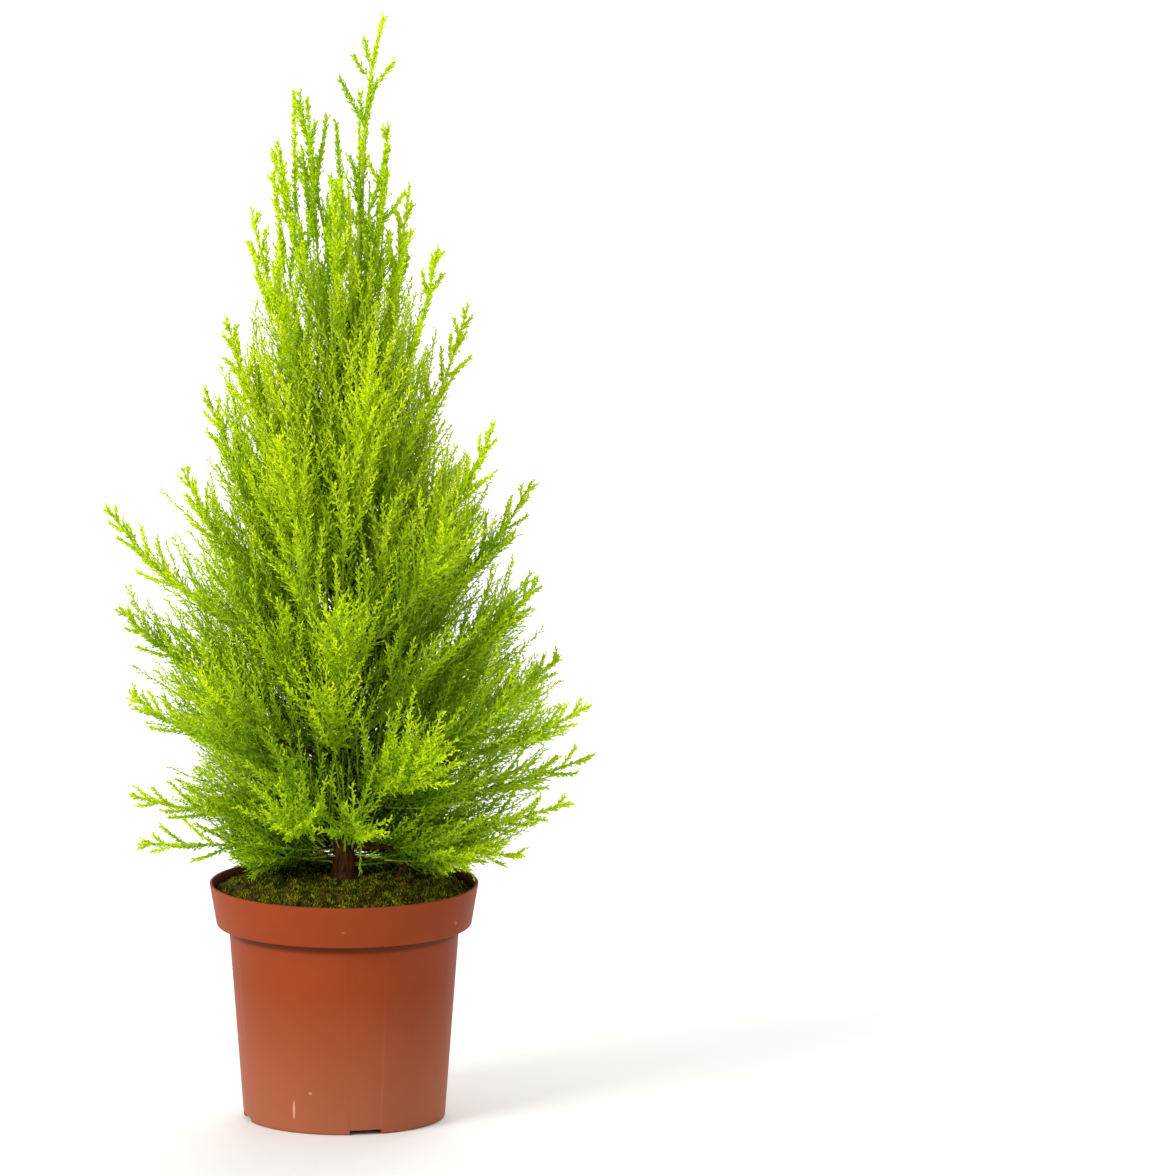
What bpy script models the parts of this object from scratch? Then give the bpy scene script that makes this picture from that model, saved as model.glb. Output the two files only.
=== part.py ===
"""A lemon cypress in its nursery pot: a cone of upswept, feathery plumes round one slender trunk.

Metres, +Z up. The origin is the centre of the pot's flat underside, and -Y is the front.
Each mass of foliage is a plume: a three-sided stem that leaves the trunk or a bough and sweeps out and up
to a tip on the crown's outline, with side sprays set round it in a spiral. A plume keeps to the space that
lies nearer to its own stem than to any other, so plumes never touch.
"""

import math

import bmesh
import bpy
import numpy as np
from mathutils import Matrix, Vector

# Pot, moulded in one piece with an even wall
POT_HEIGHT = 0.115
RIM_RADIUS = 0.065
BAND_LOW_RADIUS = 0.0615
BAND_HEIGHT = 0.0205
BODY_TOP_RADIUS = 0.0557
BODY_LOW_RADIUS = 0.0486
POT_WALL = 0.0013
EDGE_ROUND = 0.0008
FLOOR_RISE = 0.003
FOOT_WIDTH = 0.0031
CENTRE_FOOT_RADIUS = 0.0156
POT_SEGMENTS = 40
NOTCH_COUNT = 4
NOTCH_WIDTH = 0.016
NOTCH_HEIGHT = 0.0025
NOTCH_FIRST_DEG = -77.0
DRAIN_COUNT = 6
DRAIN_RADIUS = 0.004
DRAIN_SEGMENTS = 8
DRAIN_CIRCLE_RADIUS = 0.030
TURNED_SHARP_ANGLE = math.radians(30.0)
MERGE_DISTANCE = 0.00001

# Soil, domed: a flat middle a little above the rim, a shoulder, and an edge under the rim
SOIL_TOP = 0.117
SOIL_SHOULDER = (0.046, 0.1155)
SOIL_FLAT_RADIUS = 0.036
SOIL_EDGE_TOP = 0.109

# Clearance between pieces that touch
GAP = 0.0003

# Trunk
TRUNK_FOOT = SOIL_TOP + GAP
TRUNK_TOP = 0.455
TRUNK_LEAN = 0.0095
TRUNK_SWAY_ASIDE = 0.0015
TRUNK_SWAY_DEPTH = 0.0025
TRUNK_LOW_RADIUS = 0.0044
TRUNK_TOP_RADIUS = 0.0009
FLARE_RADIUS = 0.0032
FLARE_HEIGHT = 0.006
TRUNK_TAPER_POWER = 0.9
TRUNK_SIDES = 8
TRUNK_STATIONS = 15
TRUNK_STATION_CROWDING = 1.8
LIMB_SHARP_ANGLE = math.radians(60.0)

# Low side stem that leaves the soil to the right of the trunk
SIDE_STEM_FOOT = Vector((0.0270, -0.0040, TRUNK_FOOT))
SIDE_STEM_BEND = Vector((0.0310, -0.0050, 0.1300))
SIDE_STEM_TIP = Vector((0.0450, -0.0080, 0.1400))
SIDE_STEM_RADII = (0.0021, 0.0012)
SIDE_STEM_STATIONS = 6
SIDE_PLUME_TIP = Vector((0.109, -0.028, 0.160))
SIDE_PLUME_BEND_SHARE = 0.55
SIDE_PLUME_SAG = Vector((0.0, 0.0, 0.004))
SIDE_PLUME_RADIUS_SHARE = 0.8

# Crown outline: (tip height, distance out) of each plume that shows against the sky, top down, as seen
# from the front and a little above, where a tip nearer the viewer shows lower by this slope
VIEW_SLOPE = 0.189
RIGHT_TIPS = (
    (0.486, 0.022),
    (0.457, 0.032),
    (0.426, 0.046),
    (0.398, 0.060),
    (0.340, 0.073),
    (0.312, 0.091),
    (0.264, 0.094),
    (0.226, 0.104),
    (0.202, 0.117),
    (0.177, 0.120),
    (0.128, 0.086),
)
LEFT_TIPS = (
    (0.502, 0.021),
    (0.473, 0.033),
    (0.445, 0.044),
    (0.392, 0.056),
    (0.358, 0.067),
    (0.318, 0.077),
    (0.300, 0.115),
    (0.250, 0.107),
    (0.208, 0.104),
    (0.158, 0.102),
    (0.133, 0.099),
)
TIP_SWING_DEG = 22.0
TIP_SWING_LEAST = 0.55
OUTLINE_MARGIN = 0.004
OUTLINE_TOP = ((0.538, 0.027), (0.510, 0.024))
OUTLINE_BOTTOM = ((0.1172, 0.050),)
RIGHT_WAIST = ((0.359, 0.048),)
LEFT_WAIST = ((0.181, 0.075),)
LEADER_TIP = Vector((0.0200, 0.0000, 0.5380))
LEADER_BEND = Vector((0.0110, 0.0000, 0.5100))

# Crown depth: front and back plumes follow one smooth outline, (height, distance out)
DEPTH_OUTLINE = (
    (0.125, 0.085),
    (0.180, 0.113),
    (0.250, 0.102),
    (0.310, 0.084),
    (0.360, 0.066),
    (0.420, 0.047),
    (0.470, 0.030),
    (0.510, 0.018),
)
DEPTH_ROWS = (("front", -90.0, 0.5, 0.4), ("back", 90.0, 0.0, 0.0))
DEPTH_COUNT = 10
DEPTH_LOW = 0.122
DEPTH_HIGH = 0.487
DEPTH_SPREAD_DEG = 100.0
DEPTH_CROWDING = 1.15
BOUGHS_A_SIDE = {"right": 3, "left": 3, "front": 2, "back": 2}
BOUGH_SHARE = 0.24
BOUGH_SIDES = 6
BOUGH_STATIONS = 4
BOUGH_RADII = (0.0020, 0.0013)

# How a plume leaves the trunk
LOWEST_TIP = 0.125
LOWEST_ROOT = 0.130
ROOT_RISE = 0.34
ROOT_RISE_GROWTH = 0.9
ROOT_SPACING = 0.0047
ROOT_STEP = 0.001
BEND_OUT = 0.68
BEND_UP = 0.34

# Plumes thin out towards the top of the crown: full size below the first height, least at the second
FULL_BELOW = 0.440
THIN_ABOVE = 0.505
THINNEST = 0.55

# Plume stem and its side sprays
STEM_SEGMENTS = 4
STEM_END = 0.93
STEM_TIP_RADIUS = 0.00035
STEM_RADIUS_SHARE = 0.0085
STEM_RADIUS_LEAST = 0.0001
CURVE_STEPS = 20
NEARLY_UPRIGHT = 0.05
SHOOTS = 40
SOURCE_STEP = 4
FIRST_SHOOT = 0.15
FIRST_CLEAR = 0.02
LAST_SHOOT = 0.92
SHOOT_PLACE_JITTER = 0.6
GOLDEN_SHARE = 0.618
GOLDEN_ANGLE = math.radians(137.508)
TURNS_TRIED = (0.0, 0.45, -0.45, 0.9, -0.9)
SHOOT_ANGLE = math.radians(38.0)
SHOOT_ANGLE_JITTER = math.radians(9.0)
SHOOT_LENGTH_SHARE = 0.44
SHOOT_LENGTH_MOST = 0.050
SHOOT_TIP_SHARE = 0.35
SHOOT_TAPER_POWER = 0.75
SHOOT_SHORTEST_JITTER = 0.85
SHOOT_JITTER_RANGE = 0.3
PAST_TIP = 1.15
SHOOT_LEAST = 0.009
SHORTENINGS = (1.0, 0.86, 0.73, 0.61, 0.5, 0.4)
SPRAY_WIDTH_SHARE = 0.25
SPRAY_TURN = math.radians(42.0)
SPRAY_THICKNESS_SHARE = 0.045
SPRAY_FREE_ROOT_SHARE = 0.1
TIP_SPRAY_SHARE = 0.2
TIP_SPRAY_WIDTH_SHARE = 0.17
CLEAR_OF_PLUMES = 0.0009
CLEAR_OF_LIMBS = 0.0008
LOWEST_FOLIAGE = 0.1172
SAMPLE_STEP = 0.0015
LEAST_SAMPLES = 8
TRUNK_SAMPLES = 160
BOUGH_SAMPLES = 24
SIDE_STEM_SAMPLES = 30

# A toothed spray: (share along it, share of its half width), from its pointed root to its tip
SPRAY_OUTLINE = ((0.0, 0.0), (0.46, 1.0), (0.58, 0.58), (1.0, 0.0))
SPRAY_RIDGE = 0.40

# Base colours as linear red, green and blue, each with a roughness
TERRACOTTA_PLASTIC = ((0.42, 0.10, 0.04), 0.45)
MOSSY_COMPOST = ((0.06, 0.07, 0.02), 0.95)
BARK = ((0.16, 0.07, 0.035), 0.85)
LIME_FOLIAGE = ((0.38, 0.55, 0.03), 0.6)


def noise(*keys):
    """A repeatable number from 0 to 1 for whole-number keys: the fraction of a large sine."""
    value = math.sin(sum((i + 1) * 12.9898 * (key + 1) for i, key in enumerate(keys))) * 43758.5453
    return value - math.floor(value)


def material(name, finish):
    colour, roughness = finish
    made = bpy.data.materials.new(name)
    made.use_nodes = True
    shader = made.node_tree.nodes["Principled BSDF"]
    shader.inputs["Base Color"].default_value = (*colour, 1.0)
    shader.inputs["Roughness"].default_value = roughness
    shader.inputs["Metallic"].default_value = 0.0
    return made


def add_object(name, mesh, finish):
    made = bpy.data.objects.new(name, mesh)
    mesh.materials.append(finish)
    bpy.context.scene.collection.objects.link(made)
    return made


def turned(name, profile, finish):
    """A closed outline of (radius, height) points, spun once round Z. Points on the axis become one."""
    mesh = bpy.data.meshes.new(name)
    work = bmesh.new()
    verts = [work.verts.new((radius, 0.0, height)) for radius, height in profile]
    closed = list(zip(verts, verts[1:] + verts[:1]))
    edges = [work.edges.new(pair) for pair in closed if pair[0].co.x > 0.0 or pair[1].co.x > 0.0]
    bmesh.ops.spin(
        work,
        geom=verts + edges,
        cent=(0.0, 0.0, 0.0),
        axis=(0.0, 0.0, 1.0),
        angle=2.0 * math.pi,
        steps=POT_SEGMENTS,
        use_merge=True,
    )
    bmesh.ops.remove_doubles(work, verts=work.verts, dist=MERGE_DISTANCE)
    bmesh.ops.recalc_face_normals(work, faces=work.faces)
    work.to_mesh(mesh)
    work.free()
    made = add_object(name, mesh, finish)
    mesh.shade_smooth()
    mesh.set_sharp_from_angle(angle=TURNED_SHARP_ANGLE)
    return made


def cut(target, work, name):
    """Cuts the shape in an edit mesh out of a solid, by a Boolean with a hidden cutter."""
    mesh = bpy.data.meshes.new(name)
    work.to_mesh(mesh)
    work.free()
    cutter = bpy.data.objects.new(name, mesh)
    bpy.context.scene.collection.objects.link(cutter)
    cutter.hide_render = True
    cutter.display_type = "WIRE"
    modifier = target.modifiers.new(name, "BOOLEAN")
    modifier.operation = "DIFFERENCE"
    modifier.solver = "EXACT"
    modifier.object = cutter


def inner_radius(height):
    """The pot's inner wall at a height, from the floor to the rim."""
    ledge = POT_HEIGHT - BAND_HEIGHT
    if height < ledge:
        share = height / ledge
        return BODY_LOW_RADIUS + (BODY_TOP_RADIUS - BODY_LOW_RADIUS) * share - POT_WALL
    share = (height - ledge) / BAND_HEIGHT
    return BAND_LOW_RADIUS + (RIM_RADIUS - BAND_LOW_RADIUS) * share - POT_WALL


def make_pot(finish):
    ledge = POT_HEIGHT - BAND_HEIGHT
    floor_top = FLOOR_RISE + POT_WALL
    foot_inner = BODY_LOW_RADIUS - FOOT_WIDTH
    profile = (
        (0.0, 0.0),
        (CENTRE_FOOT_RADIUS, 0.0),
        (CENTRE_FOOT_RADIUS + POT_WALL, FLOOR_RISE),
        (foot_inner, FLOOR_RISE),
        (foot_inner, 0.0),
        (BODY_LOW_RADIUS - EDGE_ROUND, 0.0),
        (BODY_LOW_RADIUS, EDGE_ROUND),
        (BODY_TOP_RADIUS, ledge - EDGE_ROUND),
        (BAND_LOW_RADIUS - EDGE_ROUND, ledge),
        (BAND_LOW_RADIUS, ledge + EDGE_ROUND),
        (RIM_RADIUS, POT_HEIGHT - EDGE_ROUND / 2),
        (RIM_RADIUS - EDGE_ROUND / 2, POT_HEIGHT),
        (inner_radius(POT_HEIGHT), POT_HEIGHT),
        (inner_radius(ledge + POT_WALL), ledge + POT_WALL),
        (BODY_TOP_RADIUS - POT_WALL, ledge + POT_WALL),
        (inner_radius(floor_top), floor_top),
        (CENTRE_FOOT_RADIUS, floor_top),
        (CENTRE_FOOT_RADIUS - POT_WALL, POT_WALL),
        (0.0, POT_WALL),
    )
    pot = turned("pot", profile, finish)
    cut_notches(pot)
    cut_drains(pot)


def cut_notches(pot):
    """Cuts drainage notches through the foot ring, one of them a little right of the front."""
    for k in range(NOTCH_COUNT):
        turn = Matrix.Rotation(math.radians(NOTCH_FIRST_DEG + 360.0 * k / NOTCH_COUNT), 4, "Z")
        place = Matrix.Translation((BODY_LOW_RADIUS, 0.0, 0.0))
        size = Matrix.Diagonal((4.0 * FOOT_WIDTH, NOTCH_WIDTH, 2.0 * NOTCH_HEIGHT, 1.0))
        work = bmesh.new()
        bmesh.ops.create_cube(work, size=1.0, matrix=turn @ place @ size)
        cut(pot, work, f"notch_cutter_{k + 1}")


def cut_drains(pot):
    """Cuts a ring of round drainage holes through the raised floor."""
    middle = FLOOR_RISE + POT_WALL / 2
    for k in range(DRAIN_COUNT):
        turn = Matrix.Rotation(2.0 * math.pi * (k + 0.5) / DRAIN_COUNT, 4, "Z")
        place = Matrix.Translation((DRAIN_CIRCLE_RADIUS, 0.0, middle))
        work = bmesh.new()
        bmesh.ops.create_cone(
            work,
            cap_ends=True,
            segments=DRAIN_SEGMENTS,
            radius1=DRAIN_RADIUS,
            radius2=DRAIN_RADIUS,
            depth=4.0 * POT_WALL,
            matrix=turn @ place,
        )
        cut(pot, work, f"drain_cutter_{k + 1}")


def make_soil(finish):
    ledge = POT_HEIGHT - BAND_HEIGHT + POT_WALL
    low = FLOOR_RISE + POT_WALL
    profile = (
        (0.0, POT_WALL + GAP),
        (CENTRE_FOOT_RADIUS - POT_WALL - GAP, POT_WALL + GAP),
        (CENTRE_FOOT_RADIUS - GAP, low + GAP),
        (inner_radius(low) - GAP, low + GAP),
        (BODY_TOP_RADIUS - POT_WALL - GAP, ledge + GAP),
        (inner_radius(ledge) - GAP, ledge + GAP),
        (inner_radius(SOIL_EDGE_TOP) - GAP, SOIL_EDGE_TOP),
        SOIL_SHOULDER,
        (SOIL_FLAT_RADIUS, SOIL_TOP),
        (0.0, SOIL_TOP),
    )
    turned("soil", profile, finish)


def trunk_centre(height):
    """The trunk's centre line: a lean that grows with the square of the height, and a slight sway."""
    share = (height - TRUNK_FOOT) / (TRUNK_TOP - TRUNK_FOOT)
    return Vector(
        (
            TRUNK_LEAN * share**2 - TRUNK_SWAY_ASIDE * math.sin(math.pi * share),
            TRUNK_SWAY_DEPTH * math.sin(2.0 * math.pi * share),
            height,
        )
    )


def trunk_radius(height):
    """An even taper, widened at the foot by a flare that dies away within a few millimetres."""
    share = (height - TRUNK_FOOT) / (TRUNK_TOP - TRUNK_FOOT)
    taper = TRUNK_LOW_RADIUS + (TRUNK_TOP_RADIUS - TRUNK_LOW_RADIUS) * share**TRUNK_TAPER_POWER
    return taper + FLARE_RADIUS * math.exp(-(height - TRUNK_FOOT) / FLARE_HEIGHT)


def limb(name, centres, radii, sides, finish, flat_foot=False):
    """A ring of points at each station of a centre line, joined by faces and capped at both ends."""
    mesh = bpy.data.meshes.new(name)
    side_way = Vector((0.0, 1.0, 0.0))
    points, faces = [], []
    last = len(centres) - 1
    for i, centre in enumerate(centres):
        along = (centres[min(i + 1, last)] - centres[max(i - 1, 0)]).normalized()
        if i == 0 and flat_foot:
            along = Vector((0.0, 0.0, 1.0))
        across = side_way.cross(along).normalized()
        up = along.cross(across)
        side_way = up
        for k in range(sides):
            angle = 2.0 * math.pi * k / sides
            points.append(centre + radii[i] * (math.cos(angle) * across + math.sin(angle) * up))
    for i in range(last):
        for k in range(sides):
            low, next_low = i * sides + k, i * sides + (k + 1) % sides
            faces.append((low, next_low, next_low + sides, low + sides))
    faces.append(tuple(reversed(range(sides))))
    faces.append(tuple(range(last * sides, (last + 1) * sides)))
    mesh.from_pydata(points, [], faces)
    made = add_object(name, mesh, finish)
    if sides > 3:
        mesh.shade_smooth()
        mesh.set_sharp_from_angle(angle=LIMB_SHARP_ANGLE)
    return made


def make_trunk(finish):
    shares = [(k / (TRUNK_STATIONS - 1)) ** TRUNK_STATION_CROWDING for k in range(TRUNK_STATIONS)]
    heights = [TRUNK_FOOT + (TRUNK_TOP - TRUNK_FOOT) * share for share in shares]
    centres = [trunk_centre(height) for height in heights]
    radii = [trunk_radius(height) for height in heights]
    limb("trunk", centres, radii, TRUNK_SIDES, finish, flat_foot=True)


class Plume:
    """One mass of foliage: its stem's curve, whether a bough carries it, and a seed for its jitter."""

    def __init__(self, name, number, root, bend, tip, stem_radius, bough=False):
        self.name, self.number = name, number
        self.root, self.bend, self.tip = root, bend, tip
        self.stem_radius = stem_radius
        self.bough = bough
        points = [self.at(k / CURVE_STEPS) for k in range(CURVE_STEPS + 1)]
        self.length = sum((b - a).length for a, b in zip(points, points[1:]))
        self.fullness = float(np.interp(tip.z, (FULL_BELOW, THIN_ABOVE), (1.0, THINNEST)))
        self.start = BOUGH_SHARE + GAP / self.length if bough else 0.0

    def at(self, share):
        """A point of the stem's curve: a parabola from root to tip, drawn towards the bend."""
        rest = 1.0 - share
        return rest * rest * self.root + 2.0 * rest * share * self.bend + share * share * self.tip

    def along(self, share):
        rest = 1.0 - share
        return (rest * (self.bend - self.root) + share * (self.tip - self.bend)).normalized()

    def stations(self):
        """The points that the stem's straight lengths join, from its free root to just short of its tip."""
        span = STEM_END - self.start
        return [self.at(self.start + span * k / STEM_SEGMENTS) for k in range(STEM_SEGMENTS + 1)]

    def inside(self, share):
        """The point of the stem's straight lengths at a share of its curve."""
        place = (share - self.start) / (STEM_END - self.start) * STEM_SEGMENTS
        k = min(int(place), STEM_SEGMENTS - 1)
        points = self.stations()
        return points[k].lerp(points[k + 1], min(place - k, 1.0))

    def samples(self, first=0.0):
        count = max(LEAST_SAMPLES, math.ceil(self.length / SAMPLE_STEP))
        shares = [first + (1.0 - first) * k / count for k in range(count + 1)]
        return np.array([self.at(share) for share in shares])


def trunk_plume(name, number, azimuth, reach, tip_height, bough, roots):
    """A plume rooted on the trunk. The higher its tip, the further below it the root, clear of others."""
    above = tip_height - LOWEST_TIP
    root_height = LOWEST_ROOT + ROOT_RISE * above + ROOT_RISE_GROWTH * above**2
    out = Vector((math.cos(azimuth), math.sin(azimuth), 0.0))
    skin = out * trunk_radius(root_height)
    while any((trunk_centre(root_height) + skin - other).length < ROOT_SPACING for other in roots):
        root_height += ROOT_STEP
    roots.append(trunk_centre(root_height) + skin)
    centre = trunk_centre(root_height)
    tip = Vector((out.x * reach, out.y * reach, tip_height))
    rise = tip_height - root_height
    radius = STEM_RADIUS_SHARE * math.hypot(reach, rise) + STEM_RADIUS_LEAST
    wide = BOUGH_RADII[0] if bough else radius
    lift = rise * BEND_UP / math.hypot(rise * BEND_UP, reach * BEND_OUT)
    start = centre + out * (trunk_radius(root_height) + GAP + wide * lift)
    bend = start + out * (reach - start.xy.length) * BEND_OUT + Vector((0.0, 0.0, rise * BEND_UP))
    return Plume(name, number, start, bend, tip, radius, bough)


def plan_plumes():
    """Every plume: the leader, both outlines, front and back, and the one on the side stem."""
    plumes, roots = [], []

    def grow(side, k, azimuth_deg, reach, height, bough):
        name = f"foliage_{side}_{k + 1:02d}"
        azimuth = math.radians(azimuth_deg)
        plumes.append(trunk_plume(name, len(plumes) + 1, azimuth, reach, height, bough, roots))

    foot = trunk_centre(TRUNK_TOP) + Vector((0.0, 0.0, GAP))
    plumes.append(Plume("foliage_leader", 0, foot, LEADER_BEND, LEADER_TIP, TRUNK_TOP_RADIUS))
    for side, tips, facing in (("right", RIGHT_TIPS, 0.0), ("left", LEFT_TIPS, 180.0)):
        for k, (height, across) in enumerate(tips):
            swing = TIP_SWING_DEG * (TIP_SWING_LEAST + (1.0 - TIP_SWING_LEAST) * noise(k, 3))
            swing = swing if k % 2 else -swing
            reach = across / math.cos(math.radians(swing))
            height -= VIEW_SLOPE * reach * math.sin(math.radians(facing + swing))
            has_bough = k >= len(tips) - BOUGHS_A_SIDE[side]
            grow(side, k, facing + swing, reach, height, has_bough)
    heights = [height for height, _ in DEPTH_OUTLINE]
    reaches = [reach for _, reach in DEPTH_OUTLINE]
    for side, facing, shift, turn in DEPTH_ROWS:
        for k in range(DEPTH_COUNT):
            share = (1.0 - (k + shift) / DEPTH_COUNT) ** DEPTH_CROWDING
            height = DEPTH_LOW + (DEPTH_HIGH - DEPTH_LOW) * share
            swing = DEPTH_SPREAD_DEG * ((k * GOLDEN_SHARE + turn) % 1.0 - 0.5)
            reach = float(np.interp(height, heights, reaches))
            has_bough = k >= DEPTH_COUNT - BOUGHS_A_SIDE[side]
            grow(side, k, facing + swing, reach, height, has_bough)
    start = SIDE_STEM_TIP + (SIDE_STEM_TIP - SIDE_STEM_BEND).normalized() * GAP
    bend = start.lerp(SIDE_PLUME_TIP, SIDE_PLUME_BEND_SHARE) - SIDE_PLUME_SAG
    radius = SIDE_STEM_RADII[1] * SIDE_PLUME_RADIUS_SHARE
    plumes.append(Plume("foliage_side_stem", len(plumes), start, bend, SIDE_PLUME_TIP, radius))
    return plumes


class Spaces:
    """Tells whether points lie in a plume's own space.

    They are nearer its stem than any other, clear of all limbs, and inside the crown's outline.
    """

    def __init__(self, plumes):
        self.outlines = []
        for places in (RIGHT_TIPS + RIGHT_WAIST, LEFT_TIPS + LEFT_WAIST):
            upward = sorted(OUTLINE_BOTTOM + places + OUTLINE_TOP)
            self.outlines.append(np.array(upward).T)
        self.samples = {plume.name: plume.samples(plume.start) for plume in plumes}
        heights = np.linspace(TRUNK_FOOT, TRUNK_TOP, TRUNK_SAMPLES + 1)
        lines = [np.array([(*trunk_centre(height), trunk_radius(height)) for height in heights])]
        side_stem = side_stem_centres(SIDE_STEM_SAMPLES)
        lines.append(np.array([(*point, SIDE_STEM_RADII[0]) for point in side_stem]))
        for plume in plumes:
            if plume.bough:
                shares = np.linspace(0.0, BOUGH_SHARE, BOUGH_SAMPLES)
                lines.append(np.array([(*plume.at(share), BOUGH_RADII[0]) for share in shares]))
        self.limbs = np.concatenate(lines)

    def holds(self, plume, points):
        points = np.asarray(points)
        if (points[:, 2] < LOWEST_FOLIAGE).any():
            return False
        seen_heights = points[:, 2] + VIEW_SLOPE * points[:, 1]
        for side, outline in zip((1.0, -1.0), self.outlines):
            limits = np.interp(seen_heights, *outline) + OUTLINE_MARGIN
            if (side * points[:, 0] > limits).any():
                return False
        to_limbs = np.linalg.norm(points[:, None] - self.limbs[None, :, :3], axis=2)
        if (to_limbs - self.limbs[None, :, 3] < CLEAR_OF_LIMBS).any():
            return False
        own = nearest(points, self.samples[plume.name])
        for name, samples in self.samples.items():
            if name != plume.name and (nearest(points, samples) < own + CLEAR_OF_PLUMES).any():
                return False
        return True


def nearest(points, samples):
    return np.sqrt(((points[:, None] - samples[None]) ** 2).sum(axis=2).min(axis=1))


def spray_points(root, way, width_way, length, half_width):
    """The outline of a toothed spray, as points from the root up one side to the tip and down the other."""
    right = [
        root + way * (along * length) + width_way * (share * half_width)
        for along, share in SPRAY_OUTLINE
    ]
    left = [
        root + way * (along * length) - width_way * (share * half_width)
        for along, share in reversed(SPRAY_OUTLINE[1:-1])
    ]
    return right + left


def shoot(plume, k):
    """Where side shoot k leaves a plume's stem, the ways it may point, and how long it would like to be."""
    first = max(FIRST_SHOOT, plume.start + FIRST_CLEAR)
    place = k + SHOOT_PLACE_JITTER * noise(plume.number, k, 1)
    share = first + (LAST_SHOOT - first) * place / SHOOTS
    along = plume.along(share)
    level = along.cross(Vector((0.0, 0.0, 1.0)))
    level = level.normalized() if level.length > NEARLY_UPRIGHT else Vector((0.0, 1.0, 0.0))
    over = level.cross(along)
    spread = SHOOT_ANGLE + SHOOT_ANGLE_JITTER * (2.0 * noise(plume.number, k, 2) - 1.0)
    ways = []
    for extra in TURNS_TRIED:
        turn = k * GOLDEN_ANGLE + plume.number + extra
        aside = math.cos(turn) * level + math.sin(turn) * over
        ways.append((math.cos(spread) * along + math.sin(spread) * aside).normalized())
    longest = plume.fullness * min(SHOOT_LENGTH_SHARE * plume.length, SHOOT_LENGTH_MOST)
    towards_tip = (1.0 - share) ** SHOOT_TAPER_POWER
    length = longest * (SHOOT_TIP_SHARE + (1.0 - SHOOT_TIP_SHARE) * towards_tip)
    length = min(length, PAST_TIP * (1.0 - share) * plume.length)
    jitter = SHOOT_SHORTEST_JITTER + SHOOT_JITTER_RANGE * noise(plume.number, k, 3)
    return plume.inside(share), ways, length * jitter


def facing_width(way, place, side):
    """A spray's width direction: its flat side faces out of the crown, turned a little to one side."""
    facing = math.atan2(place.y, place.x) + side * SPRAY_TURN
    return way.cross(Vector((math.cos(facing), math.sin(facing), 0.0))).normalized()


def fitted_spray(plume, spaces, root, ways, length, side):
    """The longest of a few shortenings of a spray, turned one of a few ways, that keeps to its space."""
    for shortening in SHORTENINGS:
        short = length * shortening
        if short < SHOOT_LEAST:
            return None
        for way in ways:
            width_way = facing_width(way, root, side)
            outline = spray_points(root, way, width_way, short, short * SPRAY_WIDTH_SHARE)
            middles = [a.lerp(b, 0.5) for a, b in zip(outline, outline[1:] + outline[:1])]
            free = SPRAY_FREE_ROOT_SHARE * short
            clear = [point for point in outline + middles if (point - root).length > free]
            if spaces.holds(plume, clear):
                return outline, short
    return None


def spray_mesh(name, outline, length):
    """A toothed blade: its outline joined to one ridge point above and one below."""
    root, tip = outline[0], outline[len(SPRAY_OUTLINE) - 1]
    middle = root.lerp(tip, SPRAY_RIDGE)
    normal = (tip - root).cross(outline[1] - outline[-1]).normalized()
    lift = normal * (SPRAY_THICKNESS_SHARE * length / 2.0)
    count = len(outline)
    faces = []
    for k in range(count):
        following = (k + 1) % count
        faces.append((k, following, count))
        faces.append((following, k, count + 1))
    mesh = bpy.data.meshes.new(name)
    mesh.from_pydata(outline + [middle - lift, middle + lift], [], faces)
    work = bmesh.new()
    work.from_mesh(mesh)
    bmesh.ops.recalc_face_normals(work, faces=work.faces)
    work.to_mesh(mesh)
    work.free()
    return mesh


def keep_largest_shell(mesh):
    """Drops loose scraps and sealed hollows, which are shells of less area than the plume itself."""
    work = bmesh.new()
    work.from_mesh(mesh)
    unseen, shells = set(work.faces), []
    while unseen:
        todo, shell = [unseen.pop()], set()
        while todo:
            face = todo.pop()
            shell.add(face)
            for edge in face.edges:
                for other in edge.link_faces:
                    if other in unseen:
                        unseen.discard(other)
                        todo.append(other)
        shells.append(shell)
    if len(shells) > 1:
        largest = max(shells, key=lambda shell: sum(face.calc_area() for face in shell))
        scraps = [face for shell in shells if shell is not largest for face in shell]
        bmesh.ops.delete(work, geom=scraps, context="FACES")
    work.to_mesh(mesh)
    work.free()


def fuse(stem, meshes):
    """Joins sprays to their stem by one Boolean union on a collection, then removes the sprays."""
    sprays = bpy.data.collections.new(stem.name + "_sprays")
    bpy.context.scene.collection.children.link(sprays)
    for mesh in meshes:
        sprays.objects.link(bpy.data.objects.new(mesh.name, mesh))
    union = stem.modifiers.new("sprays", "BOOLEAN")
    union.operation = "UNION"
    union.operand_type = "COLLECTION"
    union.collection = sprays
    union.solver = "EXACT"
    bpy.context.view_layer.update()
    with bpy.context.temp_override(object=stem, active_object=stem):
        bpy.ops.object.modifier_apply(modifier=union.name)
    for spray in list(sprays.objects):
        bpy.data.objects.remove(spray)
    bpy.data.collections.remove(sprays)
    keep_largest_shell(stem.data)


def tapered(radii, count):
    """Evenly changing radii at the stations of a limb, from its foot's radius to its tip's."""
    foot, tip = radii
    return [foot + (tip - foot) * k / count for k in range(count + 1)]


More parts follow.
